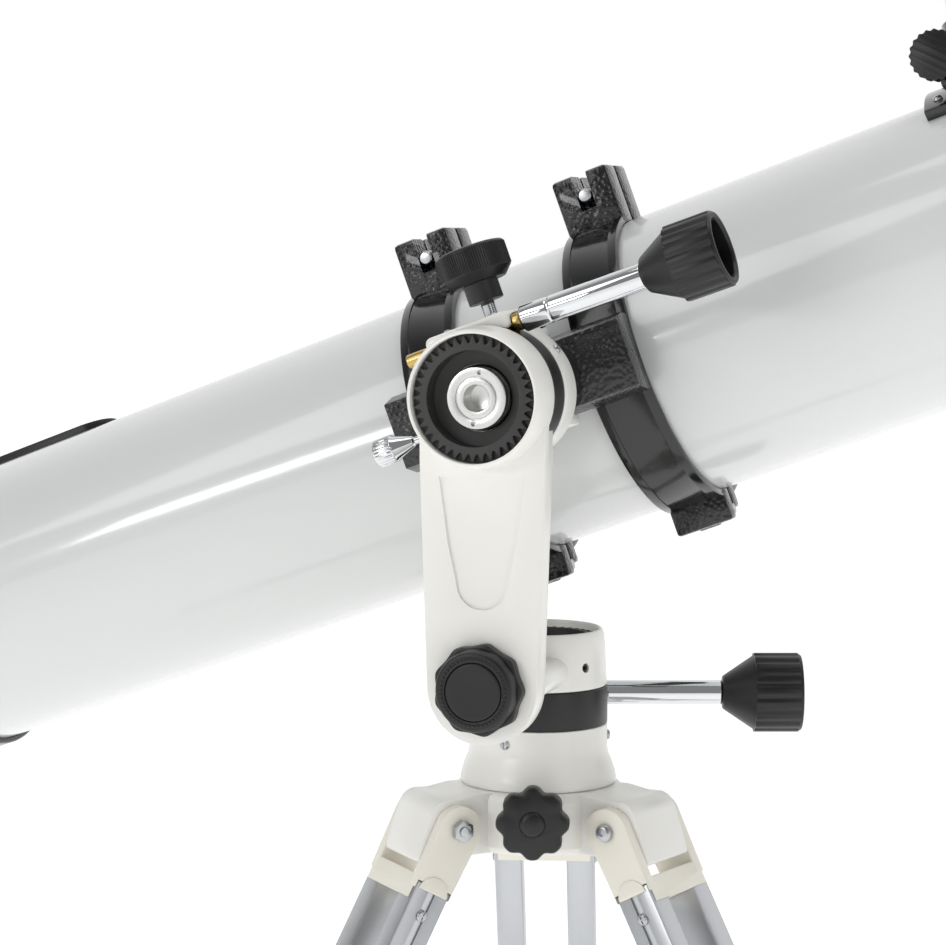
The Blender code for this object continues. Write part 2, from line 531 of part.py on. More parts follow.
def tube_parts():
    inner = TUBE_R - TUBE_WALL
    at = FOCUSER_AT
    node("tube", "tube_white", TUBE, turned(
        [(inner, TUBE_BACK), (TUBE_R, TUBE_BACK), (TUBE_R, TUBE_FRONT), (inner, TUBE_FRONT)], 96),
         [], [rod(23.5, 60, 100, 32, 0, shift(0, 0, at) @ UPWARD)])
    node("mirror_cell", "cast_black", TUBE, turned(
        [(0, TUBE_BACK + 32), (58, TUBE_BACK + 32), (60, TUBE_BACK + 30), (60, TUBE_BACK - GAP),
         (TUBE_R + GAP, TUBE_BACK - GAP), (TUBE_R + GAP, TUBE_BACK + 18), (82.6, TUBE_BACK + 18),
         (83.4, TUBE_BACK + 17), (83.4, TUBE_BACK - 5), (81.5, TUBE_BACK - 7), (64, TUBE_BACK - 7),
         (62, TUBE_BACK - 5), (0, TUBE_BACK - 5)], 96))
    node("primary_mirror", "mirror_glass", TUBE, turned(
        [(0, TUBE_BACK + 32 + GAP), (MIRROR_R - 0.6, TUBE_BACK + 32 + GAP),
         (MIRROR_R, TUBE_BACK + 33), (MIRROR_R, TUBE_BACK + 50.4), (MIRROR_R - 0.6, TUBE_BACK + 51),
         (MIRROR_R * 0.5, TUBE_BACK + 50.1), (0, TUBE_BACK + 49.8)], 72))

    hub = rod(11.0, at + 24, at + 44, 32, 0.8)
    vanes = [block(9.0, inner - GAP, -0.8, 0.8, at + 26, at + 42, turn(math.radians(45 + 90 * k), "Z"))
             for k in range(4)]
    node("secondary_spider", "dark_optics", TUBE, hub, vanes)
    slope = turn(math.pi / 4, "X")
    node("secondary_mirror", "mirror_glass", TUBE, rod(17.0, at - 24, at + 23.7, 40, 0.4), [],
         [block(-60, 60, -60, 60, -80, 0, shift(0, 0, at) @ slope)])

    focuser(at)
    finder()
    grip()


def grip():
    """Low strip with round ends along the top of the tube, curved to it."""
    half, back, front = 20.5, -412.0, -290.0
    top = arc(0, 0, TUBE_R + 4.8, 76.5, 103.5, 8)
    pad = prism(top + arc(0, 0, TUBE_R - 5.0, 103.5, 76.5, 4), back, front)
    corners = []
    for end, side in ((front, -1), (back, 1)):
        # In plan the strip runs along -Y, because UPWARD lays the plan over the tube.
        middle, edge = -end - side * half, -end + side * 9.0
        outline = ([(-half - 9, middle)] + arc(0, middle, half, 180, 180 - side * 180, 10)
                   + [(half + 9, middle), (half + 9, edge), (-half - 9, edge)])
        corners.append(prism(outline[::side], 60, 100, UPWARD))
    node("rear_grip", "knob_black", TUBE @ turn(math.radians(-13.0), "Z"), pad, [],
         corners + [rod(TUBE_R + GAP, -500, -100, 96, 0)])


def focuser(at):
    """Rack-and-pinion focuser on top of the tube, pointing along the tube frame's +Y."""
    plate = arc(0, 0, TUBE_R + 6.0, 58, 122, 12) + arc(0, 0, TUBE_R - 6.0, 122, 58, 6)
    body = prism(plate, at - 46, at + 46)
    up = shift(0, 0, at) @ UPWARD
    housing = turned([(0, 66), (33.0, 66), (33.0, 83.0), (31.0, 88.0), (28.0, 92.0), (28.0, 117.0),
                      (27.0, 118.0), (0, 118.0)], 48, up)
    pinion_box = block(-13, 13, 84.5, 111, at - 37, at - 20)
    bore = rod(22.3, 40, 140, 64, 0, up)
    shaft = rod(3.6, -44, 44, 16, 0, shift(0, 100, at - 31) @ ALONG)
    clear = rod(TUBE_R + GAP, at - 80, at + 80, 96, 0)
    node("focuser_base", "cast_black", TUBE, body, [housing, pinion_box], [clear, bore, shaft])

    draw = TUBE @ up
    node("focuser_drawtube", "chrome", draw, turned(
        [(19.4, 70.0), (22.0, 70.0), (22.0, 141.0), (24.6, 142.0), (25.0, 143.0), (25.0, 151.0),
         (24.2, 152.0), (16.2, 152.0), (16.2, 138.0), (19.4, 136.0)], 48))
    node("eyepiece", "dark_optics", draw, turned(
        [(0, 126.0), (15.9, 126.0), (15.9, 152.3), (18.2, 152.3), (18.8, 153.0), (18.8, 170.0),
         (17.0, 174.0), (17.0, 184.0), (18.0, 186.0), (18.0, 190.0), (16.0, 191.5), (11.0, 191.5),
         (9.5, 188.0), (0, 187.0)], 48))
    axle = TUBE @ shift(0, 100, at - 31) @ ALONG
    grips = [lobed(14.0, 1.0, 16, lo, lo + 12.0, 4) for lo in (29.5, -41.5)]
    node("focus_knobs", "knob_black", axle, rod(3.1, -40, 40, 16, 0.2), grips)


def finder():
    """Small straight-through finder on a ringed bracket beside the focuser."""
    side = TUBE @ shift(0, 0, FOCUSER_AT) @ turn(math.radians(-52), "Z")
    foot = arc(0, 0, TUBE_R + 5.0, 79, 101, 6) + arc(0, 0, TUBE_R - 5.0, 101, 79, 4)
    clear = rod(TUBE_R + GAP, -80, 80, 96, 0)
    post = block(-6, 6, 83, 104, -12, 12)
    loop = ring(19.0, 23.0, -11, 11, 48, shift(0, 124, 0))
    node("finder_bracket", "cast_black", side, prism(foot, -26, 26), [post, loop], [clear])
    tube_at = side @ shift(0, 124, 0)
    node("finder_tube", "knob_black", tube_at, turned(
        [(0, -84), (10, -84), (13.0, -82.5), (13.0, -62), (14.5, -60), (14.5, -40), (17.6, -37),
         (18.7, -14), (18.7, 14), (18.2, 44), (18.2, 52), (20.5, 58), (20.5, 92), (19.8, 93),
         (17.6, 93), (17.2, 92), (17.2, 66), (0, 66)], 48))


def build():
    tripod_hub()
    for i in range(3):
        leg(i)
        brace_arm(i)
    tray()
    star_knob()
    azimuth_head()
    arm()
    saddle()
    bar_and_rings()
    tube_parts()


build()
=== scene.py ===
"""Looks of a white reflector telescope on a slow-motion head and a folding aluminium tripod.

Every piece is modelled from a primitive at its real size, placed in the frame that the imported
model gives, and rides on the body that it belongs to.  Lengths in the sizes are millimetres.
"""
import json
import logging
import math
from collections.abc import Iterable, Sequence
from dataclasses import dataclass
from enum import Enum

import bpy
from mathutils import Matrix, Vector


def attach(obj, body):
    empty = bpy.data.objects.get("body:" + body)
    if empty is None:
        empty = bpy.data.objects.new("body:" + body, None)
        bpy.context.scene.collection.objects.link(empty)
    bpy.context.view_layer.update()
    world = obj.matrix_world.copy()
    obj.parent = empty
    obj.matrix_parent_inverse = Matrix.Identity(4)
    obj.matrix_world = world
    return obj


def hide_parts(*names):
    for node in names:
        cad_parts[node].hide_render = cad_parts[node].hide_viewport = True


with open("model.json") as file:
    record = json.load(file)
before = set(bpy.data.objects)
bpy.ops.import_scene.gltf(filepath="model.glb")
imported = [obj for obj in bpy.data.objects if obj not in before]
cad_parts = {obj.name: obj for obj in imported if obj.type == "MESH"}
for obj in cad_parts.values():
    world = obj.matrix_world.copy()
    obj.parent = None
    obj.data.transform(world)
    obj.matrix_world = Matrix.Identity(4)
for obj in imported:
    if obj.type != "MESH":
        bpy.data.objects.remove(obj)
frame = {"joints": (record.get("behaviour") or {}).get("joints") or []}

MM = 0.001
FULL = 2.0 * math.pi
LOG = logging.getLogger("telescope")
Outline = list[tuple[float, float]]
Piece = bpy.types.Object


# ---------------------------------------------------------------- finishes
class Grain(Enum):
    """How a surface is broken up at close range."""

    PEEL = "sprayed paint, a soft orange peel"
    HAMMER = "hammered enamel, round pebbles"
    MOULD = "moulded plastic, a fine spark texture"
    LINES = "brushed or drawn along one direction"
    RINGS = "turned on a lathe, fine rings"
    SMOOTH = "polished, with only faint handling marks"


def linear(code: str) -> tuple[float, float, float, float]:
    """Turn an sRGB hex colour into the linear one that shaders use.

    Args:
        code: Six hex digits.

    Returns:
        Red, green, blue and an alpha of one.
    """
    parts = [int(code[i:i + 2], 16) / 255.0 for i in (0, 2, 4)]
    red, green, blue = [p / 12.92 if p <= 0.04045 else ((p + 0.055) / 1.055) ** 2.4 for p in parts]
    return red, green, blue, 1.0


def add(tree: bpy.types.NodeTree, kind: str, settings: dict, links: dict) -> bpy.types.Node:
    """Add one shader node with its settings and its links.

    Args:
        tree: The node tree.
        kind: The node's type.
        settings: Values by socket name or number, or by property name.
        links: Source sockets by input name or number.

    Returns:
        The new node.
    """
    made = tree.nodes.new(kind)
    for key, value in settings.items():
        if isinstance(key, int) or key in made.inputs:
            made.inputs[key].default_value = value
        else:
            setattr(made, key, value)
    for key, source in links.items():
        tree.links.new(source, made.inputs[key])
    return made


@dataclass(frozen=True)
class Finish:
    """One material, from what it is made of and how its surface was made."""

    name: str
    slot: str
    colour: str
    roughness: float
    grain: Grain
    grain_mm: float
    depth: float
    metallic: float = 0.0
    ior: float = 1.5
    coat: float = 0.0
    shade: float = 0.06
    spread: float = 0.05

    def material(self, place: Matrix | None = None) -> bpy.types.Material:
        """Build the material, or give the one made before.

        Args:
            place: Frame whose Z is the brushing or lathe direction, where the grain has one.

        Returns:
            The node material.
        """
        tag = "" if place is None else "_%+d%+d%+d" % tuple(round(9 * v) for v in place.col[2][:3])
        found = bpy.data.materials.get(self.name + tag)
        if found:
            return found
        made = bpy.data.materials.new(self.name + tag)
        made.use_nodes = True
        tree = made.node_tree
        shader = tree.nodes["Principled BSDF"]
        shader.inputs["Metallic"].default_value = self.metallic
        if self.metallic < 1.0:
            shader.inputs["IOR"].default_value = self.ior
        shader.inputs["Coat Weight"].default_value = self.coat
        shader.inputs["Coat Roughness"].default_value = 0.05
        where = self.coordinates(tree, place)
        height = self.pattern(tree, where)
        bump = add(tree, "ShaderNodeBump", {"Strength": 1.0, "Distance": self.depth * MM}, {"Height": height})
        tree.links.new(bump.outputs["Normal"], shader.inputs["Normal"])
        self.tone(tree, shader, height)
        return made

    def coordinates(self, tree: bpy.types.NodeTree, place: Matrix | None) -> bpy.types.NodeSocket:
        """Object coordinates, turned into the frame of the brushing or turning.

        Args:
            tree: The node tree.
            place: The frame, or nothing.

        Returns:
            The vector socket.
        """
        source = add(tree, "ShaderNodeTexCoord", {}, {}).outputs["Object"]
        if place is None:
            return source
        stretch = (1.0, 1.0, 60.0) if self.grain is Grain.LINES else (1.0, 1.0, 1.0)
        settings = {"vector_type": "TEXTURE", "Location": place.to_translation(),
                    "Rotation": place.to_euler(), "Scale": stretch}
        return add(tree, "ShaderNodeMapping", settings, {"Vector": source}).outputs["Vector"]

    def pattern(self, tree: bpy.types.NodeTree, where: bpy.types.NodeSocket) -> bpy.types.NodeSocket:
        """The height of the surface's own texture.

        Args:
            tree: The node tree.
            where: Coordinates.

        Returns:
            A value socket.
        """
        scale = 1.0 / (self.grain_mm * MM)
        if self.grain is Grain.HAMMER:
            settings = {"feature": "SMOOTH_F1", "Scale": scale, "Smoothness": 0.6}
            return add(tree, "ShaderNodeTexVoronoi", settings, {"Vector": where}).outputs["Distance"]
        if self.grain is Grain.RINGS:
            settings = {"wave_type": "RINGS", "rings_direction": "Z", "Scale": 0.314 * scale,
                        "Distortion": 0.4, "Detail": 2.0}
            return add(tree, "ShaderNodeTexWave", settings, {"Vector": where}).outputs["Fac"]
        settings = {"Scale": scale, "Detail": 3.0, "Roughness": 0.55}
        return add(tree, "ShaderNodeTexNoise", settings, {"Vector": where}).outputs["Fac"]

    def tone(self, tree: bpy.types.NodeTree, shader: bpy.types.Node, height: bpy.types.NodeSocket) -> None:
        """Vary the colour over the piece, and the roughness with handling and grain.

        Args:
            tree: The node tree.
            shader: The Principled node.
            height: The grain's height.
        """
        source = add(tree, "ShaderNodeTexCoord", {}, {}).outputs["Object"]
        broad = add(tree, "ShaderNodeTexNoise", {"Scale": 14.0, "Detail": 5.0, "Roughness": 0.6},
                    {"Vector": source}).outputs["Fac"]
        colour = linear(self.colour)
        dark = tuple(c * (1.0 - self.shade) for c in colour[:3]) + (1.0,)
        blend = add(tree, "ShaderNodeMix", {"data_type": "RGBA", 6: dark, 7: colour}, {0: broad})
        tree.links.new(blend.outputs[2], shader.inputs["Base Color"])
        spot = add(tree, "ShaderNodeMath", {"operation": "MULTIPLY"}, {0: broad, 1: height})
        limits = {"From Min": 0.1, "From Max": 0.5, "To Min": max(0.01, self.roughness - self.spread),
                  "To Max": self.roughness + self.spread}
        rough = add(tree, "ShaderNodeMapRange", limits, {"Value": spot.outputs[0]})
        tree.links.new(rough.outputs[0], shader.inputs["Roughness"])


# Gloss baked enamel on rolled steel: near mirror under a soft light, with a faint orange peel.
TUBE_ENAMEL = Finish("gloss_enamel_white", "tube_white", "d9dbda", 0.16, Grain.PEEL, 3.5, 0.012,
                     coat=0.5, shade=0.02, spread=0.03)
# Flat black paint inside the tube, so rough that it gives no highlight.
TUBE_FLOCK = Finish("flat_black_paint", "dark_optics", "0c0c0e", 0.85, Grain.MOULD, 0.8, 0.05, shade=0.3)
# Sprayed satin paint on die-cast alloy: broad soft highlights and a warmer white.
CAST_PAINT = Finish("satin_paint_cast", "head_white", "eeede8", 0.34, Grain.PEEL, 1.6, 0.018, coat=0.15,
                    shade=0.03)
# Moulded ABS, cream, with a fine spark texture that spreads the light.
CREAM_ABS = Finish("moulded_abs_cream", "cream_plastic", "ece8dc", 0.42, Grain.MOULD, 0.9, 0.02, shade=0.05)
# Hammered enamel on cast rings and bar: round glossy pebbles.
HAMMERED = Finish("hammered_enamel_black", "cast_black", "0f0f11", 0.26, Grain.HAMMER, 2.6, 0.7, coat=0.4,
                  shade=0.2)
# Smooth gloss enamel on the ring's straps.
STRAP_BLACK = Finish("gloss_enamel_black", "cast_black", "0c0c0e", 0.18, Grain.PEEL, 2.2, 0.02, coat=0.3,
                     shade=0.15)
# Glass-filled nylon of knobs and bands: dull black, finely textured.
NYLON = Finish("moulded_nylon_black", "knob_black", "101011", 0.4, Grain.MOULD, 0.7, 0.03, shade=0.2)
# Phenolic of the gear rings: dark warm grey and dull.
PHENOLIC = Finish("phenolic_grey", "cap_grey", "343332", 0.55, Grain.MOULD, 0.6, 0.03, shade=0.15)
# Chromed steel, polished before plating: sharp reflections and faint handling marks.
CHROME = Finish("polished_chrome", "chrome", "dcdee0", 0.07, Grain.SMOOTH, 4.0, 0.003, metallic=1.0,
                spread=0.03)
# Turned brass of the worm.
BRASS = Finish("turned_brass", "brass", "c3aa6c", 0.28, Grain.SMOOTH, 1.0, 0.01, metallic=1.0)
# Turned aluminium of the axle: fine concentric rings.
ALLOY = Finish("turned_aluminium", "silver_alloy", "dadad8", 0.3, Grain.RINGS, 0.6, 0.006, metallic=1.0)
# Drawn and anodised rail: fine lines along its length.
RAIL = Finish("drawn_aluminium", "rail_aluminium", "c3c5c8", 0.36, Grain.LINES, 0.5, 0.02, metallic=1.0,
              spread=0.08)
# Zinc-plated screws and nuts.
ZINC = Finish("plated_zinc", "chrome", "b9bbbd", 0.3, Grain.SMOOTH, 1.2, 0.01, metallic=1.0)
# Moulded rubber of the feet.
RUBBER = Finish("moulded_rubber", "foot_rubber", "222222", 0.8, Grain.MOULD, 1.1, 0.06, shade=0.25)
# Front-silvered glass.
SILVERED = Finish("silvered_glass", "mirror_glass", "eef1f2", 0.03, Grain.SMOOTH, 30.0, 0.0005, metallic=1.0,
                  spread=0.01)
# Black anodised aluminium of the optics' holders.
ANODISED = Finish("anodised_black", "dark_optics", "151517", 0.26, Grain.PEEL, 0.5, 0.006, metallic=0.6)


# ---------------------------------------------------------------- bench tools
def shift(x: float = 0.0, y: float = 0.0, z: float = 0.0) -> Matrix:
    """A move in millimetres."""
    return Matrix.Translation((x * MM, y * MM, z * MM))


def turn(degrees: float, axis: str) -> Matrix:
    """A turn about a local axis, in degrees."""
    return Matrix.Rotation(math.radians(degrees), 4, axis)


FRONT = turn(90.0, "X")
ALONG = turn(90.0, "Y")
UPWARD = turn(-90.0, "X")


def alone(piece: Piece) -> None:
    """Select and activate one piece, and nothing else."""
    bpy.ops.object.select_all(action="DESELECT")
    piece.select_set(True)
    bpy.context.view_layer.objects.active = piece


def arc(cx: float, cy: float, radius: float, start: float, end: float, steps: int = 24) -> Outline:
    """Points on an arc.

    Args:
        cx: Centre, first coordinate.
        cy: Centre, second coordinate.
        radius: Radius.
        start: First angle in degrees.
        end: Last angle in degrees.
        steps: Number of chords.

    Returns:
        The points, both ends included.
    """
    angles = [math.radians(start + (end - start) * i / steps) for i in range(steps + 1)]
    return [(cx + radius * math.cos(a), cy + radius * math.sin(a)) for a in angles]


def lobes(radius: float, depth: float, count: int, per: int = 12, power: float = 0.8) -> Outline:
    """A round outline that dips between its lobes.

    Args:
        radius: Outer radius.
        depth: Depth of the dips.
        count: Number of lobes.
        per: Points for each lobe.
        power: Below one, the dips are wide; above one, narrow.

    Returns:
        The closed outline.
    """
    points = []
    for i in range(count * per):
        a = FULL * i / (count * per)
        reach = radius - depth * (0.5 - 0.5 * math.cos(count * a)) ** power
        points.append((reach * math.cos(a), reach * math.sin(a)))
    return points


def eased(points: Sequence[tuple[float, float]], radius: float, closed: bool) -> Outline:
    """Round the corners of a line, each with a short curve.

    Args:
        points: The line.
        radius: How far from a corner its rounding starts.
        closed: Whether the last point joins the first.

    Returns:
        The line with rounded corners.
    """
    if radius <= 0.0:
        return list(points)
    result: Outline = []
    count = len(points)
    for i, point in enumerate(points):
        if not closed and i in (0, count - 1):
            result.append(point)
            continue
        here, before, after = (Vector(points[k % count]) for k in (i, i - 1, i + 1))
        back, on = before - here, after - here
        if back.length < 1e-6 or on.length < 1e-6 or back.angle(on) > math.radians(158.0):
            result.append(point)
            continue
        reach = min(radius, 0.4 * back.length, 0.4 * on.length)
        first, last = here + back.normalized() * reach, here + on.normalized() * reach
        middle = 0.25 * first + 0.5 * here + 0.25 * last
        result += [tuple(first), tuple(middle), tuple(last)]
    return result


def wire(points: Sequence[tuple[float, float, float]], closed: bool) -> Piece:
    """Draw a line by extruding one vertex from point to point, and stay in edit mode.

    Args:
        points: Points in millimetres.
        closed: Whether to end where it starts.

    Returns:
        The new object, in edit mode with all of it selected.
    """
    bpy.ops.object.select_all(action="DESELECT")
    bpy.ops.mesh.primitive_plane_add(size=2.0 * MM)
    piece = bpy.context.object
    bpy.ops.object.mode_set(mode="EDIT")
    bpy.ops.mesh.merge(type="CENTER")
    route = [Vector(p) * MM for p in points] + ([Vector(points[0]) * MM] if closed else [])
    bpy.ops.transform.translate(value=route[0])
    for here, there in zip(route, route[1:]):
        bpy.ops.mesh.extrude_vertices_move(TRANSFORM_OT_translate={"value": there - here})
    bpy.ops.mesh.select_all(action="SELECT")
    bpy.ops.mesh.remove_doubles(threshold=1e-7)
    return piece


def turned(profile: Sequence[tuple[float, float]], steps: int = 96, ease: float = 0.4,
           place: Matrix | None = None) -> Piece:
    """Turn a profile of (radius, height) points about Z.

    Args:
        profile: The profile; one that starts and ends on the axis gives a solid, others a ring.
        steps: Steps of the spin.
        ease: Rounding of its corners.
        place: Where the piece goes.

    Returns:
        The closed piece.
    """
    ring = profile[0][0] > 0.0 or profile[-1][0] > 0.0
    line = eased(profile, ease, ring)
    piece = wire([(r, 0.0, h) for r, h in line], ring)
    bpy.ops.mesh.spin(steps=steps, angle=FULL, center=(0, 0, 0), axis=(0, 0, 1))
    bpy.ops.mesh.select_all(action="SELECT")
    bpy.ops.mesh.remove_doubles(threshold=1e-6)
    bpy.ops.mesh.dissolve_degenerate(threshold=1e-7)
    bpy.ops.mesh.normals_make_consistent(inside=False)
    bpy.ops.object.mode_set(mode="OBJECT")
    return placed(piece, place)


def plate(outline: Sequence[tuple[float, float]], low: float, high: float, ease: float = 0.5,
          place: Matrix | None = None) -> Piece:
    """Extrude a flat outline from one height to another.

    Args:
        outline: The closed outline.
        low: First height.
        high: Last height.
        ease: Width of the bevel on its edges.
        place: Where the piece goes.

    Returns:
        The closed piece.
    """
    piece = wire([(x, y, low) for x, y in outline], True)
    bpy.ops.mesh.edge_face_add()
    bpy.ops.mesh.extrude_region_move(TRANSFORM_OT_translate={"value": (0, 0, (high - low) * MM)})
    bpy.ops.mesh.select_all(action="SELECT")
    bpy.ops.mesh.normals_make_consistent(inside=False)
    bpy.ops.object.mode_set(mode="OBJECT")
    if ease > 0.0:
        softened(piece, ease)
    return placed(piece, place)


def slab(x: tuple[float, float], y: tuple[float, float], z: tuple[float, float], ease: float = 0.5,
         place: Matrix | None = None) -> Piece:
    """A box between two limits on each axis."""
    return plate([(x[0], y[0]), (x[1], y[0]), (x[1], y[1]), (x[0], y[1])], z[0], z[1], ease, place)


def bar(radius: float, low: float, high: float, ease: float = 0.4, steps: int = 48,
        place: Matrix | None = None) -> Piece:
    """A round bar along Z."""
    return turned([(0, low), (radius, low), (radius, high), (0, high)], steps, ease, place)


def placed(piece: Piece, place: Matrix | None) -> Piece:
    """Move a piece, and leave the move in its mesh."""
    if place is not None:
        alone(piece)
        piece.matrix_world = place
        bpy.ops.object.transform_apply(location=True, rotation=True, scale=True)
    return piece


def softened(piece: Piece, width: float, angle: float = 35.0, segments: int = 2) -> Piece:
    """Bevel the sharp edges of a piece.

    Args:
        piece: The piece.
        width: Width in millimetres.
        angle: Edges sharper than this are bevelled.
        segments: Steps across the bevel.

    Returns:
        The same piece.
    """
    alone(piece)
    bpy.ops.object.modifier_add(type="BEVEL")
    bevel = piece.modifiers[-1]
    bevel.width, bevel.segments = width * MM, segments
    bevel.limit_method, bevel.angle_limit = "ANGLE", math.radians(angle)
    bpy.ops.object.modifier_apply(modifier=bevel.name)
    return piece


def combined(piece: Piece, tools: Iterable[Piece], operation: str) -> Piece:
    """Fuse tools to a piece, or cut them from it.

    Args:
        piece: The piece.
        tools: Other pieces, which are used up.
        operation: UNION or DIFFERENCE.

    Returns:
        The same piece.
    """
    for tool in tools:
        alone(piece)
        bpy.ops.object.modifier_add(type="BOOLEAN")
        joint = piece.modifiers[-1]
        joint.operation, joint.solver, joint.object = operation, "EXACT", tool
        bpy.ops.object.modifier_apply(modifier=joint.name)
        bpy.data.objects.remove(tool)
    return piece


def fused(piece: Piece, *tools: Piece) -> Piece:
    """Fuse the tools to the piece."""
    return combined(piece, tools, "UNION")


def cut(piece: Piece, *tools: Piece) -> Piece:
    """Cut the tools from the piece."""
    return combined(piece, tools, "DIFFERENCE")


def copied(piece: Piece, places: Sequence[Matrix]) -> Piece:
    """Repeat a small piece at several places and join the copies.

    Args:
        piece: The piece, modelled at the origin; it is used up.
        places: A place for each copy.

    Returns:
        The joined copies.
    """
    copies = []
    for place in places:
        alone(piece)
        bpy.ops.object.duplicate()
        copies.append(placed(bpy.context.object, place))
    bpy.data.objects.remove(piece)
    bpy.ops.object.select_all(action="DESELECT")
    for copy in copies:
        copy.select_set(True)
    bpy.context.view_layer.objects.active = copies[0]
    bpy.ops.object.join()
    return bpy.context.object


def done(piece: Piece, name: str, body: str, finish: Finish, place: Matrix, stands_for: Sequence[str] = (),
         grain: Matrix | None = None) -> Piece:
    """Place, smooth, dress and mount a finished piece.

    Args:
        piece: The piece.
        name: Its name.
        body: The body that it rides on.
        finish: Its finish.
        place: Where it goes.
        stands_for: CAD nodes that it replaces.
        grain: Frame of its grain, where that has a direction.

    Returns:
        The same piece.
    """
    placed(piece, place)
    bpy.ops.object.shade_smooth_by_angle(angle=math.radians(34.0))
    piece.name = piece.data.name = name
    piece.data.materials.clear()
    piece.data.materials.append(finish.material(grain))
    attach(piece, body)
    if stands_for:
        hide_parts(*stands_for)
    LOG.info("%s on %s in %s, %d faces", name, body, finish.name, len(piece.data.polygons))
    return piece


def joint(name: str) -> dict:
    """The joint of that name."""
    return next(j for j in frame["joints"] if j["name"] == name)


def basis(x: Vector, y: Vector, z: Vector, origin: Vector) -> Matrix:
    """A frame from its axes and its origin."""
    made = Matrix((x, y, z)).transposed().to_4x4()
    made.translation = origin
    return made


@dataclass(frozen=True)
class Frames:
    """The places that the pieces share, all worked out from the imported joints."""

    drop: float = 5.3
    behind: float = 70.0

    @property
    def head(self) -> Matrix:
        """The azimuth axis at the altitude axis' height."""
        x, y, _ = joint("azimuth")["pos_m"]
        return Matrix.Translation((x, y, joint("altitude")["pos_m"][2]))

    @property
    def altitude(self) -> Matrix:
        """The altitude axis, its Z towards the viewer's side."""
        return self.head @ FRONT

    @property
    def tilted(self) -> Matrix:
        """As altitude, with X up the tube."""
        rise = math.degrees(math.asin(joint("worm_turn")["axis"][2]))
        return self.head @ turn(-rise, "Y") @ FRONT

    @property
    def tube(self) -> Matrix:
        """The tube's axis as Z, Y upward and X away from the viewer's side."""
        return self.tilted @ shift(0, -self.drop, -self.behind) @ ALONG

    def leg(self, number: int) -> Matrix:
        """A leg's frame at its hinge: X outward, Y up the leg, Z along the hinge pin's back."""
        up = -Vector(joint(f"leg_{number}_extend")["axis"])
        outward = Vector(joint(f"leg_{number}_clamp_turn")["axis"])
        origin = Vector(joint(f"leg_{number}_fold")["pos_m"])
        return basis(outward, up, outward.cross(up), origin)


PLACES = Frames()


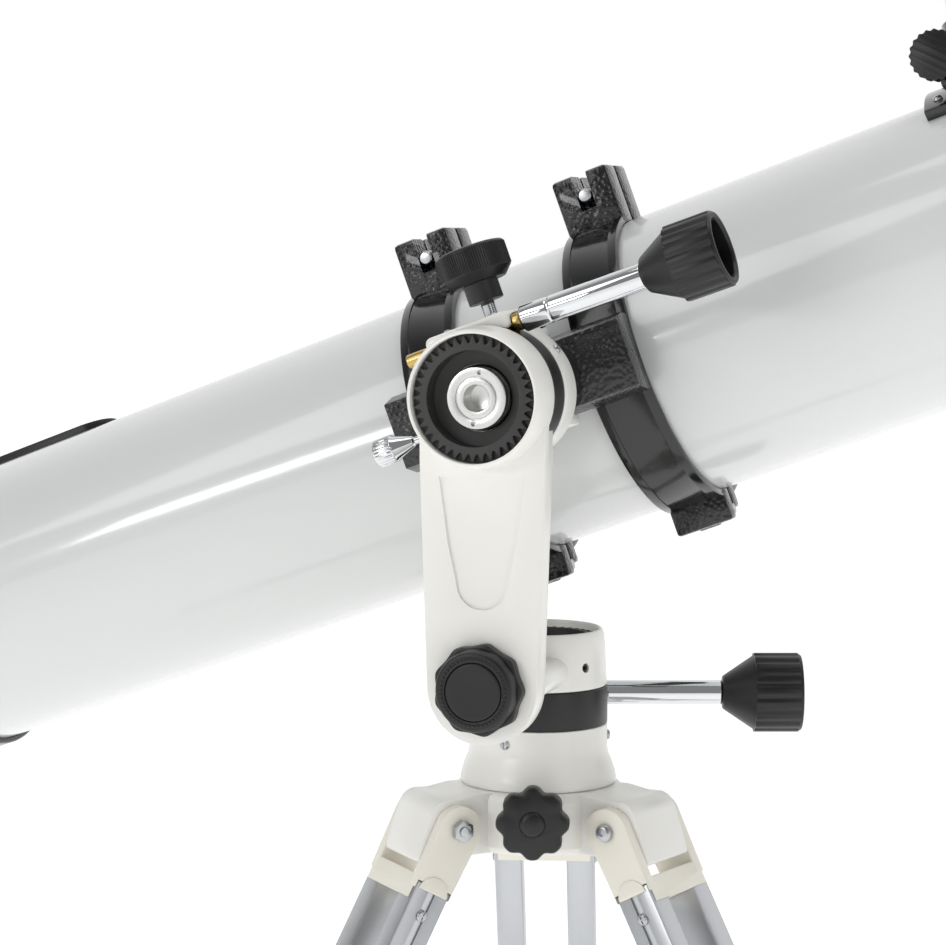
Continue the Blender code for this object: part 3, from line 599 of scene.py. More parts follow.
# ---------------------------------------------------------------- tube assembly
@dataclass
class OpticalTube:
    """The rolled tube, its cell, mirrors, spider and grip."""

    radius: float = 80.0
    wall: float = 2.0
    back: float = -435.0
    front: float = 425.0
    mirror: float = 66.0
    focuser: float = 290.0
    grip_half: float = 20.5
    grip_back: float = 412.0
    grip_front: float = 290.0
    body: str = "tube_assembly"

    def shell(self) -> None:
        """The white tube with its focuser hole, its black inside and its front trim."""
        inner, r = self.radius - self.wall, self.radius
        skin = turned([(r - 0.8, self.back), (r, self.back), (r, self.front), (r - 0.8, self.front)], 256, 0)
        eye = shift(0, 0, self.focuser) @ UPWARD
        hole = bar(23.5, 60, 100, 0, 64, eye)
        done(cut(skin, hole), "tube_shell", self.body, TUBE_ENAMEL, PLACES.tube, ["tube"])
        lining = turned([(inner, self.back), (r - 0.9, self.back), (r - 0.9, self.front),
                         (inner, self.front)], 192, 0)
        hole = bar(23.4, 60, 100, 0, 64, eye)
        done(cut(lining, hole), "tube_lining", self.body, TUBE_FLOCK, PLACES.tube)
        trim = turned([(inner - 1.4, self.front + 1.6), (inner - 1.4, self.front - 9),
                       (inner - 0.1, self.front - 9), (inner - 0.1, self.front + 0.2),
                       (r + 0.2, self.front + 0.2), (r + 0.2, self.front - 15), (r + 1.7, self.front - 15),
                       (r + 1.7, self.front + 1.6)], 192, 0.5)
        done(trim, "front_trim_ring", self.body, STRAP_BLACK, PLACES.tube)

    def cell(self) -> None:
        """The mirror cell with its ribs and its push and pull screws."""
        b, r = self.back, self.radius
        cup = turned([(0, b + 32), (58, b + 32), (60, b + 30), (60, b - 0.3), (r + 0.3, b - 0.3),
                      (r + 0.3, b + 18), (82.6, b + 18), (83.4, b + 17), (83.4, b - 5), (81.5, b - 7),
                      (64, b - 7), (62, b - 5), (0, b - 5)], 160, 0.6)
        done(cup, "mirror_cell_cup", self.body, STRAP_BLACK, PLACES.tube, ["mirror_cell"])
        rib = slab((6, 60), (-2, 2), (b - 9, b - 4.6), 0.7)
        done(copied(rib, [turn(60 * k, "Z") for k in range(6)]), "cell_ribs", self.body, STRAP_BLACK,
             PLACES.tube)
        knob = plate(lobes(7.0, 0.8, 12, 8), b - 17, b - 9.4, 0.8, shift(44, 0, 0))
        done(copied(knob, [turn(120 * k + 30, "Z") for k in range(3)]), "collimation_knobs", self.body,
             NYLON, PLACES.tube)
        screw = cut(bar(2.6, b - 13, b - 5.2, 0.5, 32), plate(arc(0, 0, 1.5, 0, 300, 5), b - 14, b - 10.5, 0))
        screw = placed(screw, shift(44, 0, 0))
        done(copied(screw, [turn(120 * k + 90, "Z") for k in range(3)]), "lock_screws", self.body, ZINC,
             PLACES.tube)

    def optics(self) -> None:
        """Primary mirror, spider and secondary mirror."""
        b, m = self.back, self.mirror
        bowl = turned([(0, b + 32.3), (m - 0.6, b + 32.3), (m, b + 33), (m, b + 50.4), (m - 0.6, b + 51)]
                      + [(m * k / 8.0, b + 49.8 + 1.1 * (k / 8.0) ** 2) for k in range(7, -1, -1)], 128, 0.1)
        done(bowl, "primary_mirror_glass", self.body, SILVERED, PLACES.tube, ["primary_mirror"])
        at = self.focuser
        hub = turned([(0, at + 24), (9, at + 24), (11, at + 26), (11, at + 40), (8, at + 44), (0, at + 44)],
                     64, 0.8)
        vanes = [slab((9.0, 77.6), (-0.5, 0.5), (at + 26, at + 42), 0.1, turn(45 + 90 * k, "Z"))
                 for k in range(4)]
        done(fused(hub, *vanes), "spider_vanes", self.body, ANODISED, PLACES.tube, ["secondary_spider"])
        slant = slab((-60, 60), (-60, 60), (-80, 0), 0, shift(0, 0, at) @ turn(45, "X"))
        done(cut(bar(17.0, at - 24, at + 23.7, 0.3, 96), slant), "secondary_mirror_glass", self.body,
             SILVERED, PLACES.tube, ["secondary_mirror"])

    def grip(self) -> None:
        """The low black grip strip near the back, with its round ends."""
        r = self.radius
        back, front = self.grip_back, self.grip_front
        pad = plate(arc(0, 0, r + 4.8, 76.5, 103.5, 24) + arc(0, 0, r - 5.0, 103.5, 76.5, 12),
                    -back, -front, 0)
        reach = self.grip_half
        outline = arc(0, back - reach, reach, 0, 180, 32) + arc(0, front + reach, reach, 180, 360, 32)
        ends = plate(outline, 60, 100, 0, UPWARD)
        pad = combined(pad, [ends], "INTERSECT")
        pad = softened(cut(pad, bar(r + 0.3, -500, -100, 0, 192)), 0.9, 50)
        done(pad, "rear_grip_strip", self.body, NYLON, PLACES.tube @ turn(-13.0, "Z"), ["rear_grip"])

    def build(self) -> None:
        """Make every piece of the tube."""
        self.shell()
        self.cell()
        self.optics()
        self.grip()


@dataclass
class Focuser:
    """Rack-and-pinion focuser with its eyepiece."""

    at: float = 290.0
    tube: float = 80.0
    body: str = "tube_assembly"

    def build(self) -> None:
        """Make the base, the drawtube, the eyepiece and the focus knobs."""
        up, r, at = shift(0, 0, self.at) @ UPWARD, self.tube, self.at
        base = plate(arc(0, 0, r + 6.0, 58, 122, 32) + arc(0, 0, r - 6.0, 122, 58, 16), at - 46, at + 46, 1.0)
        housing = turned([(0, 66), (33.0, 66), (33.0, 83.0), (31.0, 88.0), (28.0, 92.0), (28.0, 117.0),
                          (27.0, 118.0), (0, 118.0)], 96, 0.8, up)
        box = slab((-13, 13), (84.5, 111), (at - 37, at - 20), 1.5)
        base = cut(fused(base, housing, box), bar(22.3, 40, 140, 0, 96, up), bar(r + 0.3, at - 80, at + 80, 0, 192),
                   bar(3.6, -44, 44, 0, 32, shift(0, 100, at - 31) @ ALONG))
        done(base, "focuser_housing", self.body, STRAP_BLACK, PLACES.tube, ["focuser_base"])
        screw = turned([(0, 0), (2.6, 0), (2.6, 0.9), (1.6, 1.9), (0, 2.2)], 32, 0.2)
        corners = [turn(s * 25, "Z") @ shift(0, r + 5.9, at + e) @ UPWARD for s in (-1, 1) for e in (-38, 38)]
        done(copied(screw, corners), "focuser_screws", self.body, ZINC, PLACES.tube)
        tube = turned([(19.4, 70.0), (22.0, 70.0), (22.0, 141.0), (24.6, 142.0), (25.0, 143.0),
                       (25.0, 151.0), (24.2, 152.0), (16.2, 152.0), (16.2, 138.0), (19.4, 136.0)], 128, 0.3)
        done(tube, "focuser_chrome_tube", "drawtube", CHROME, PLACES.tube @ up, ["focuser_drawtube"])
        eyepiece = turned([(0, 126.0), (15.9, 126.0), (15.9, 152.3), (18.2, 152.3), (18.8, 153.0),
                           (18.8, 157.0), (18.0, 157.8), (18.0, 168.0), (18.8, 169.0), (18.8, 171.0),
                           (17.0, 174.0), (17.0, 184.0), (18.0, 186.0), (18.0, 190.0), (16.0, 191.5),
                           (11.0, 191.5), (9.5, 188.0), (0, 187.0)], 128, 0.4)
        done(eyepiece, "eyepiece_barrel", "drawtube", ANODISED, PLACES.tube @ up, ["eyepiece"])
        lens = turned([(0, 187.2), (8.9, 187.4), (8.9, 188.0), (5.0, 188.7), (0, 188.9)], 64, 0.1)
        done(lens, "eye_lens", "drawtube", SILVERED, PLACES.tube @ up)
        axle = fused(bar(3.1, -40, 40, 0.3), *[plate(lobes(14.0, 1.0, 20, 8), lo, lo + 12.0, 1.0)
                                               for lo in (29.5, -41.5)])
        done(axle, "focus_knob_pair", "focus_axle", NYLON, PLACES.tube @ shift(0, 100, at - 31) @ ALONG,
             ["focus_knobs"])


@dataclass
class Finder:
    """Straight-through finder on a ringed bracket."""

    at: float = 290.0
    tube: float = 80.0
    lean: float = -52.0
    body: str = "tube_assembly"

    def build(self) -> None:
        """Make the bracket, its screws and the finder's own tube."""
        side = PLACES.tube @ shift(0, 0, self.at) @ turn(self.lean, "Z")
        r = self.tube
        foot = plate(arc(0, 0, r + 5.0, 79, 101, 16) + arc(0, 0, r - 5.0, 101, 79, 8), -26, 26, 0.8)
        post = slab((-6, 6), (83, 104), (-12, 12), 1.2)
        loop = turned([(19.0, -11), (23.0, -11), (23.0, 11), (19.0, 11)], 96, 0.8, shift(0, 124, 0))
        bracket = cut(fused(foot, post, loop), bar(r + 0.3, -80, 80, 0, 192))
        done(bracket, "finder_ring_bracket", self.body, STRAP_BLACK, side, ["finder_bracket"])
        screw = turned([(0, 0), (1.5, 0), (1.5, 5), (4.2, 5.4), (4.2, 11), (3.4, 12), (0, 12)], 32, 0.4)
        places = [shift(0, 124, 0) @ turn(a, "Z") @ shift(21.5, 0, 0) @ ALONG for a in (40, 140)]
        done(copied(screw, places), "finder_screws", self.body, ZINC, side)
        tube = turned([(0, -84), (10, -84), (13.0, -82.5), (13.0, -62), (14.5, -60), (14.5, -40),
                       (17.6, -37), (18.7, -14), (18.7, 14), (18.2, 44), (18.2, 52), (20.5, 58), (20.5, 92),
                       (19.8, 93), (17.6, 93), (17.2, 92), (17.2, 66), (0, 66)], 96, 0.5)
        done(tube, "finder_scope", self.body, NYLON, side @ shift(0, 124, 0), ["finder_tube"])
        lens = turned([(0, 66.3), (17.0, 66.3), (17.0, 68.0), (10.0, 69.6), (0, 70.2)], 96, 0.2)
        done(lens, "finder_lens", self.body, SILVERED, side @ shift(0, 124, 0))


@dataclass
class TubeRing:
    """A hinged cast ring around the tube, with its clamp bolt."""

    tag: str
    at: float
    tube: float = 80.3
    thick: float = 4.5
    width: float = 33.0
    behind: float = 70.0
    bar_back: float = 23.7
    hinge_out: float = 7.5
    bolt_out: float = 16.0
    slot_out: float = 8.0
    slot_half: float = 4.6

    def strap(self, side: float) -> Piece:
        """Half of the strap, with a raised rim at each edge.

        Args:
            side: -1 for the fixed half, +1 for the lid.

        Returns:
            The half strap, cut to the tube.
        """
        r, half = self.tube, self.width / 2
        outer = arc(0, 0, r + self.thick, 93, 267, 72)
        inner = arc(0, 0, r, 267, 93, 72)
        band = plate([(-side * x, y) for x, y in outer + inner], -half, half, 0.9)
        groove = turned([(r + self.thick - 0.8, -half + 5), (r + 9, -half + 5), (r + 9, half - 5),
                         (r + self.thick - 0.8, half - 5)], 192, 0.5)
        return cut(band, groove)

    def build(self) -> None:
        """Make the base, the lid, the hinge pin and the bolt."""
        place, r = PLACES.tube @ shift(0, 0, self.at), self.tube
        outer, half, drop = r + self.thick, self.width / 2, PLACES.drop
        hinge = shift(0, -outer - self.hinge_out, 0)
        slot_y = (outer + self.slot_out, outer + 40.0)
        slot_z = (-self.slot_half, self.slot_half)
        foot = slab((-(self.behind + self.bar_back - 0.3), -r + 3.0), (drop - 22, drop + 22),
                    (-half + 0.2, half - 0.2), 1.2)
        lug = slab((-20.0, -1.2), (r - 2.0, outer + 29.0), (-17, 17), 2.4)
        stub = slab((-12.5, -1.2), (-outer - 13.0, -r + 1.5), (-17, 17), 2.0)
        done(self.strap(-1), f"ring_strap_{self.tag}", "tube_assembly", STRAP_BLACK, place)
        base = cut(fused(foot, lug, stub),
                   bar(r, -60, 60, 0, 256),
                   slab((-26, 2), slot_y, slot_z, 0),
                   bar(7.3, -6.2, 6.2, 0, 48, hinge),
                   bar(3.5, -30, 30, 0, 32, hinge))
        done(base, f"ring_half_{self.tag}", "tube_assembly", HAMMERED, place, [f"ring_base_{self.tag}"])
        body = f"ring_lid_{self.tag}"
        lug = slab((1.2, 20.0), (r - 2.0, outer + 29.0), (-17, 17), 2.4)
        stub = slab((1.2, 12.5), (-outer - 7.5, -r + 1.5), (-17, 17), 2.0)
        web = slab((0, 5.0), (-outer - 11, -outer - 4), (-5.9, 5.9), 0)
        eye = bar(6.5, -5.9, 5.9, 0.4, 48, hinge)
        done(self.strap(1), f"ring_lid_strap_{self.tag}", body, STRAP_BLACK, place)
        lid = cut(fused(lug, stub, web, eye), bar(r, -60, 60, 0, 256),
                  slab((-2, 30), slot_y, slot_z, 0))
        done(lid, f"ring_cover_{self.tag}", body, HAMMERED, place, [body])
        pin = bar(3.0, -16.8, 16.8, 0.6, 32, hinge)
        done(pin, f"ring_hinge_pin_{self.tag}", body, ZINC, place)
        bolt = place @ shift(0, outer + self.bolt_out, 0) @ turn(-90, "Y")
        shank = fused(turned([(0, -28.0), (4.0, -28.0), (4.0, 19.8), (3.2, 20.8), (0, 20.8)], 48, 0.3),
                      plate(lobes(9.5, 2.0, 6, 12), -28.5, -20.3, 1.2))
        done(shank, f"ring_clamp_bolt_{self.tag}", f"ring_bolt_{self.tag}", ZINC, bolt,
             [f"ring_bolt_{self.tag}"])


# ---------------------------------------------------------------- head
@dataclass
class ControlKnob:
    """A hollow ribbed grip with a cone at its rod end."""

    radius: float
    start: float
    length: float = 44.0
    cone: float = 16.0
    ribs: int = 18

    def build(self, name: str, body: str, place: Matrix, node: str) -> None:
        """Make the knob.

        Args:
            name: The piece's name.
            body: The body that it rides on.
            place: The rod's frame.
            node: The CAD node that it replaces.
        """
        s, r, end = self.start, self.radius, self.start + self.length
        core = turned([(0, s), (9.0, s), (9.8, s + 1.0), (r - 2.4, s + self.cone), (r - 0.8, s + self.cone + 2.6),
                       (r - 0.8, end - 1.0), (r - 1.4, end), (r - 3.6, end), (r - 4.4, end - 1.2),
                       (r - 5.0, s + self.cone + 12), (6.0, s + self.cone + 10), (0, s + self.cone + 10)],
                      144, 0.6)
        sleeve = plate(lobes(r, 0.9, self.ribs, 12, 2.5), s + self.cone + 1.4, end - 1.6, 0.5)
        inside = bar(r - 4.9, s + self.cone + 11.0, end + 4, 0, 144)
        done(fused(core, cut(sleeve, inside)), name, body, NYLON, place, [node])


@dataclass
class GearRing:
    """A dark ring with a crown of round notches."""

    inner: float
    outer: float
    top: float
    teeth: int = 40

    def build(self, name: str, place: Matrix, profile: Outline, body: str, node: str) -> None:
        """Make the ring.

        Args:
            name: The piece's name.
            place: Its frame.
            profile: The turned part below the crown.
            body: The body that it rides on.
            node: The CAD node that it replaces.
        """
        ring = turned(profile, 160, 0.3)
        crown = plate(lobes(self.outer - 0.4, 4.2, self.teeth, 10, 0.7), self.top - 3.4, self.top, 0.35)
        crown = cut(crown, bar(self.inner, self.top - 9, self.top + 3, 0, 160))
        done(fused(ring, crown), name, body, PHENOLIC, place, [node])


@dataclass
class Saddle:
    """Drum, worm box and bar clamp on the tube's side of the altitude axis."""

    drum: float = 37.0
    bar_half: float = 22.0
    back: float = 39.0
    worm_up: float = 32.0
    worm_at: float = 78.0
    body: str = "tube_assembly"

    def casting(self) -> None:
        """The white casting with its clamp, ridge and worm box."""
        drum = turned([(15.4, 51), (36.4, 51), (self.drum, 51.6), (self.drum, 68.8), (36, 70), (15.4, 70)],
                      192, 0.5)
        clamp = slab((-26, 26), (-27.5, 27.5), (31, 52), 2.0)
        ridge = plate(eased([(-26.4, 39.5), (-26.0, 37.4), (-20, 22.0), (20, 22.0), (25.0, 37.0),
                             (23.0, 39.5)], 2.0, True), 52.5, 69.0, 1.0)
        box = plate(eased([(-24.5, 30.0), (23.5, 30.0), (23.5, 39.5), (-24.5, 39.5)], 3.0, True), 62, 86, 1.6)
        boss = slab((-9, 12), (24, 36), (40, 50), 1.2)
        slot = slab((-60, 60), (-self.bar_half - 0.4, self.bar_half + 0.4), (20, self.back - 0.1), 0)
        casting = cut(fused(drum, clamp, ridge, box, boss), slot,
                      bar(4.4, -60, 60, 0, 48, shift(0, self.worm_up, self.worm_at) @ ALONG),
                      turned([(10.0, 70.1), (36.6, 70.1), (36.6, 87.0), (10.0, 87.0)], 192, 0),
                      bar(4.6, 20, 60, 0, 48, shift(2.5, 0, 45) @ UPWARD),
                      bar(2.4, 10, 60, 0, 32, shift(0, -7, 61) @ turn(-90, "Y")))
        done(softened(casting, 0.3, 50), "saddle_casting", self.body, CAST_PAINT, PLACES.tilted, ["saddle"])
        screw = cut(turned([(0, 0), (2.4, 0), (2.4, 1.0), (1.6, 1.8), (0, 2.0)], 32, 0.2),
                    slab((-3, 3), (-0.4, 0.4), (1.2, 3), 0))
        places = [shift(12, 39.3, 74) @ UPWARD, shift(-14, 39.3, 74) @ UPWARD,
                  turn(20, "Z") @ shift(36.8, 0, 60) @ ALONG]
        done(copied(screw, places), "saddle_screws", self.body, ZINC, PLACES.tilted)

    def bar(self) -> None:
        """The black dovetail bar."""
        h = self.bar_half
        outline = [(-h + 3.5, 38.4), (h - 3.5, 38.4), (h, 23.7), (-h, 23.7)]
        made = plate(outline, -75.0, 65.0, 0.8, turn(90, "Y") @ turn(90, "Z"))
        done(made, "dovetail_rail", self.body, HAMMERED, PLACES.tilted, ["dovetail_bar"])

    def band(self) -> None:
        """The black band between drum and arm, notched for the worm box."""
        band = turned([(15.4, 70.3), (36.0, 70.3), (36.2, 70.6), (36.2, 89.4), (36.0, 89.8), (15.4, 89.8)],
                      192, 0.2)
        notch = slab((-50, 50), (self.worm_up - 4.6, self.worm_up + 8), (self.worm_at - 4.6, self.worm_at + 4.6), 0)
        done(cut(band, notch), "altitude_band_ring", self.body, NYLON, PLACES.tilted, ["altitude_band"])

    def axle(self) -> None:
        """The turned axle end with its groove, bore and spanner holes."""
        disc = turned([(0, 54.0), (15.0, 54.0), (15.0, 97.0), (16.2, 98.0), (16.2, 107.3), (15.8, 107.7),
                       (11.4, 107.7), (11.2, 107.0), (10.6, 107.0), (10.4, 107.7), (7.2, 107.7),
                       (6.8, 107.2), (6.8, 96.0), (0, 96.0)], 144, 0.15)
        holes = [bar(1.3, 105.4, 110, 0, 24, turn(a, "Z") @ shift(13.4, 0, 0)) for a in (83, 263)]
        done(cut(disc, *holes), "altitude_axle_disc", self.body, ALLOY, PLACES.altitude,
             ["altitude_axle"], PLACES.altitude)

    def worm(self) -> None:
        """The brass worm shaft, its rod with a set screw and its knob."""
        place = PLACES.tilted @ shift(0, self.worm_up, self.worm_at) @ ALONG
        threads: Outline = []
        for k in range(11):
            threads += [(3.2, -22 + 4 * k), (3.8, -21 + 4 * k), (3.8, -19 + 4 * k)]
        shaft = turned([(0, -39), (3.2, -39), (3.8, -38.4), (3.8, -24)] + threads
                       + [(3.2, 23.2), (5.2, 24.2), (5.2, 28.0), (2.9, 28.3), (2.9, 33.5), (0, 33.5)], 72, 0.2)
        done(shaft, "worm_shaft_brass", "worm", BRASS, place, ["worm_shaft"])
        tip = PLACES.tilted @ shift(28.6, self.worm_up, self.worm_at) @ turn(-1.0, "Z") @ ALONG
        rod = turned([(0, 12.0), (3.9, 12.0), (3.9, 0), (6.2, 0), (7.0, 0.8), (7.0, 15), (6.7, 15.6),
                      (6.7, 16.6), (7.0, 17.2), (7.0, 68.4), (6.2, 69.2), (0, 69.2)], 96, 0.2)
        done(rod, "altitude_control_rod", "altitude_drive", CHROME, tip, ["altitude_rod"])
        grub = cut(bar(1.9, 5.8, 7.9, 0.3, 32), plate(arc(0, 0, 1.0, 0, 300, 5), 7.0, 9.0, 0))
        done(grub, "altitude_set_screw", "altitude_drive", STRAP_BLACK, tip @ shift(0, 0, 8) @ turn(-60, "Z") @ ALONG)
        ControlKnob(20.4, 69.5).build("altitude_control_knob", "altitude_drive", tip, "altitude_knob")

    def clamps(self) -> None:
        """The lock wheel above the bar and the small tension screw."""
        place = PLACES.tilted @ shift(2.5, 0, 45) @ UPWARD
        wheel = fused(turned([(0, 50.5), (9.6, 50.5), (9.6, 61.0), (14.5, 61.0), (19.2, 66.0), (19.2, 79.0),
                              (18.4, 80.0), (16.0, 80.6), (12.0, 80.6), (10.0, 79.4), (0, 79.0)], 144, 0.4),
                      plate(lobes(19.6, 0.5, 90, 6), 66.6, 78.6, 0))
        done(wheel, "saddle_lock_wheel", "saddle_lock", NYLON, place, ["saddle_lock_knob"])
        thread: Outline = []
        for k in range(12):
            thread += [(3.5, 37.0 + k), (4.0, 37.5 + k)]
        stud = turned([(0, 23.0), (4.0, 23.0)] + thread + [(3.5, 50.3), (0, 50.3)], 64, 0)
        done(stud, "saddle_lock_stud", "saddle_lock", CHROME, place)
        screw = turned([(0, 17.0), (2.1, 17.0), (2.1, 56.0), (3.0, 57.0), (6.4, 67.0), (7.3, 68.4),
                        (7.3, 78.4), (6.6, 79.4), (0, 79.4)], 64, 0.3)
        grip = plate(lobes(7.7, 0.4, 26, 6), 68.8, 78.2, 0.2)
        done(fused(screw, grip), "tension_thumbscrew", "tension", CHROME,
             PLACES.tilted @ shift(0, -7, 61) @ turn(-90, "Y"), ["tension_screw"])

    def build(self) -> None:
        """Make every piece of the saddle."""
        self.casting()
        self.bar()
        self.band()
        self.axle()
        self.worm()
        self.clamps()


@dataclass
class Arm:
    """The single cast arm with its altitude barrel and its clamp at the foot."""

    pivot: float = 151.7
    front: float = 99.0
    back: float = 84.0
    rim: float = 115.5
    barrel: float = 37.0
    beads: int = 48
    body: str = "arm"

    def casting(self) -> None:
        """The white arm with its dished face."""
        place = PLACES.altitude @ shift(0, -self.pivot, 0)
        sides = [(30.0 + 4.0 * z / 118.0, z) for z in (40.0, 80.0, 118.0)]
        foot = arc(0, 0, 30.0, 180, 360, 48)
        mirrored = [(-x, z) for x, z in reversed(sides)]
        hollow = arc(0, self.pivot, 38.0, 333.5, 206.5, 40)
        body = plate(foot + sides + hollow + mirrored, self.back, 93.0, 0.6)
        seat = arc(0, self.pivot, 35.0, 346.5, 193.5, 48)
        face = plate(foot + sides + seat + mirrored, 91.0, self.front, 0)
        b = self.barrel
        barrel = turned([(17.3, 90.2), (36.2, 90.2), (b, 91.0), (b, 94.0), (36.7, 103.0), (36.1, 111.0),
                         (35.6, 114.2), (34.8, self.rim), (33.4, self.rim), (33.4, 100.0), (17.3, 100.0)],
                        192, 0.5, shift(0, self.pivot, 0))
        pocket = ([(23.5, 110.0), (18.5, 75.0)] + arc(0, 55.0, 14.0, 0, -180, 32)
                  + [(-18.5, 75.0), (-23.5, 110.0)])
        dish = plate(pocket, self.front - 1.6, self.front + 4, 0)
        stud = bar(5.3, 60, 130, 0, 48)
        casting = softened(cut(fused(body, face, barrel), dish, stud), 0.9, 40, 3)
        done(casting, "arm_casting", self.body, CAST_PAINT, place, ["arm"])
        GearRing(25.0, 33.1, 13.2).build(
            "altitude_gear_crown", PLACES.altitude @ shift(0, 0, 100.3),
            [(17.6, 0), (33.1, 0), (33.1, 10.2), (25.0, 10.2), (25.0, 1.4), (17.6, 1.4)],
            self.body, "altitude_gear_ring")

    def clamp(self) -> None:
        """The round clamp knob with its ring of beads and its grey cap."""
        place, f = PLACES.altitude @ shift(0, -self.pivot, 0), self.front
        knob = fused(plate(lobes(24.4, 1.6, 9, 16), f + 0.3, f + 7.5, 0.8),
                     turned([(0, 104.0), (22.6, 104.0), (21.2, 111.0), (20.6, 112.6), (19.6, 113.2),
                             (15.6, 113.2), (15.4, 112.4), (0, 112.4)], 144, 0.4),
                     bar(5.0, 62.0, 101.0, 0.5))
        done(knob, "arm_clamp_grip", "arm_clamp", NYLON, place, ["arm_clamp_knob"])
        cap = turned([(0, 112.5), (15.2, 112.5), (15.2, 113.3), (14.4, 113.9), (9.0, 113.5), (0, 113.3)], 96, 0.3)
        done(cap, "arm_clamp_cap", "arm_clamp", NYLON, place)
        bead = turned([(0, -0.5), (0.8, -0.3), (0.9, 0.2), (0.5, 0.6), (0, 0.7)], 10, 0)
        ring = [turn(360.0 * k / self.beads, "Z") @ shift(17.5, 0, 113.3) for k in range(self.beads)]
        done(copied(bead, ring), "arm_clamp_beads", "arm_clamp", NYLON, place)

    def build(self) -> None:
        """Make every piece of the arm."""
        self.casting()
        self.clamp()


@dataclass
class AzimuthHead:
    """Collar, black band and plinth on the azimuth axis, with the azimuth control."""

    pivot: float = 151.7
    neck: float = 83.7
    rod_z: float = 172.3
    rod_back: float = 24.0
    rod_turn: float = 18.7

    def build(self) -> None:
        """Make every piece of the azimuth head."""
        head = PLACES.head
        plinth = turned([(0, -217.0), (43.0, -217.0), (43.2, -215.0), (42.6, -211.5), (40.6, -205.5),
                         (38.8, -201.5), (38.2, -197.0), (38.2, -185.1), (37.7, -184.6), (0, -184.6)], 192, 0.5)
        done(plinth, "plinth_casting", "tripod", CAST_PAINT, head, ["head_plinth"])
        along = turn(self.rod_turn, "Z") @ shift(0, self.rod_back, -self.rod_z) @ ALONG
        band = turned([(0, -184.3), (37.9, -184.3), (38.2, -183.9), (38.2, -164.0), (37.9, -163.6),
                       (0, -163.6)], 192, 0.2)
        band = cut(fused(band, bar(8.5, 4, 33, 0.5, 64, along)), bar(7.4, 26, 40, 0, 64, along))
        done(band, "azimuth_band_ring", "head", NYLON, head, ["azimuth_band"])
        shell = turned([(0, -163.3), (37.4, -163.3), (38.0, -162.6), (37.6, -158.0), (37.3, -150.0),
                        (36.9, -142.0), (36.3, -135.5), (35.3, -132.6), (34.2, -132.0), (33.3, -132.8),
                        (33.0, -148.0), (0, -148.0)], 192, 0.5)
        tongue = arc(20, 0, 8.0, -90, 90, 20) + arc(-20, 0, 8.0, 90, 270, 20)
        neck = plate(tongue, 34.5, self.neck, 0.6, shift(0, 0, -self.pivot) @ FRONT)
        screw_at = shift(0, 0, -150.9) @ turn(-29, "Z") @ ALONG
        shell = cut(fused(shell, neck), bar(6.4, 60, 90, 0, 48, shift(0, 0, -self.pivot) @ FRONT),
                    bar(2.6, 34, 40, 0, 32, screw_at))
        done(shell, "azimuth_collar_shell", "head", CAST_PAINT, head, ["azimuth_collar"])
        grub = cut(bar(2.5, 34.2, 36.2, 0.3, 32), plate(arc(0, 0, 1.3, 0, 300, 5), 35.0, 38.0, 0))
        done(grub, "collar_set_screw", "head", STRAP_BLACK, head @ screw_at)
        GearRing(26.5, 32.7, 12.0).build(
            "azimuth_gear_crown", head @ shift(0, 0, -147.7),
            [(0, 0), (32.7, 0), (32.7, 9.0), (26.5, 9.0), (26.5, 6.0), (24.5, 7.4), (9.0, 7.4), (8.0, 6.6),
             (0, 6.6)], "head", "azimuth_gear_ring")
        rod = turned([(0, 26.6), (6.4, 26.6), (7.0, 27.2), (7.0, 102.7), (6.2, 103.5), (0, 103.5)], 96, 0.2)
        done(rod, "azimuth_control_rod", "azimuth_drive", CHROME, head @ along, ["azimuth_rod"])
        ControlKnob(22.3, 103.8).build("azimuth_control_knob", "azimuth_drive", head @ along, "azimuth_knob")
        screw = cut(turned([(0, 37.6), (2.8, 37.6), (2.8, 38.8), (2.0, 39.6), (0, 39.8)], 32, 0.2),
                    slab((-3, 3), (-0.4, 0.4), (39.1, 41), 0))
        places = [shift(0, 0, -192.0) @ turn(a, "Z") @ ALONG for a in (-101, 19, 139)]
        done(copied(screw, places), "plinth_screws", "tripod", ZINC, head)


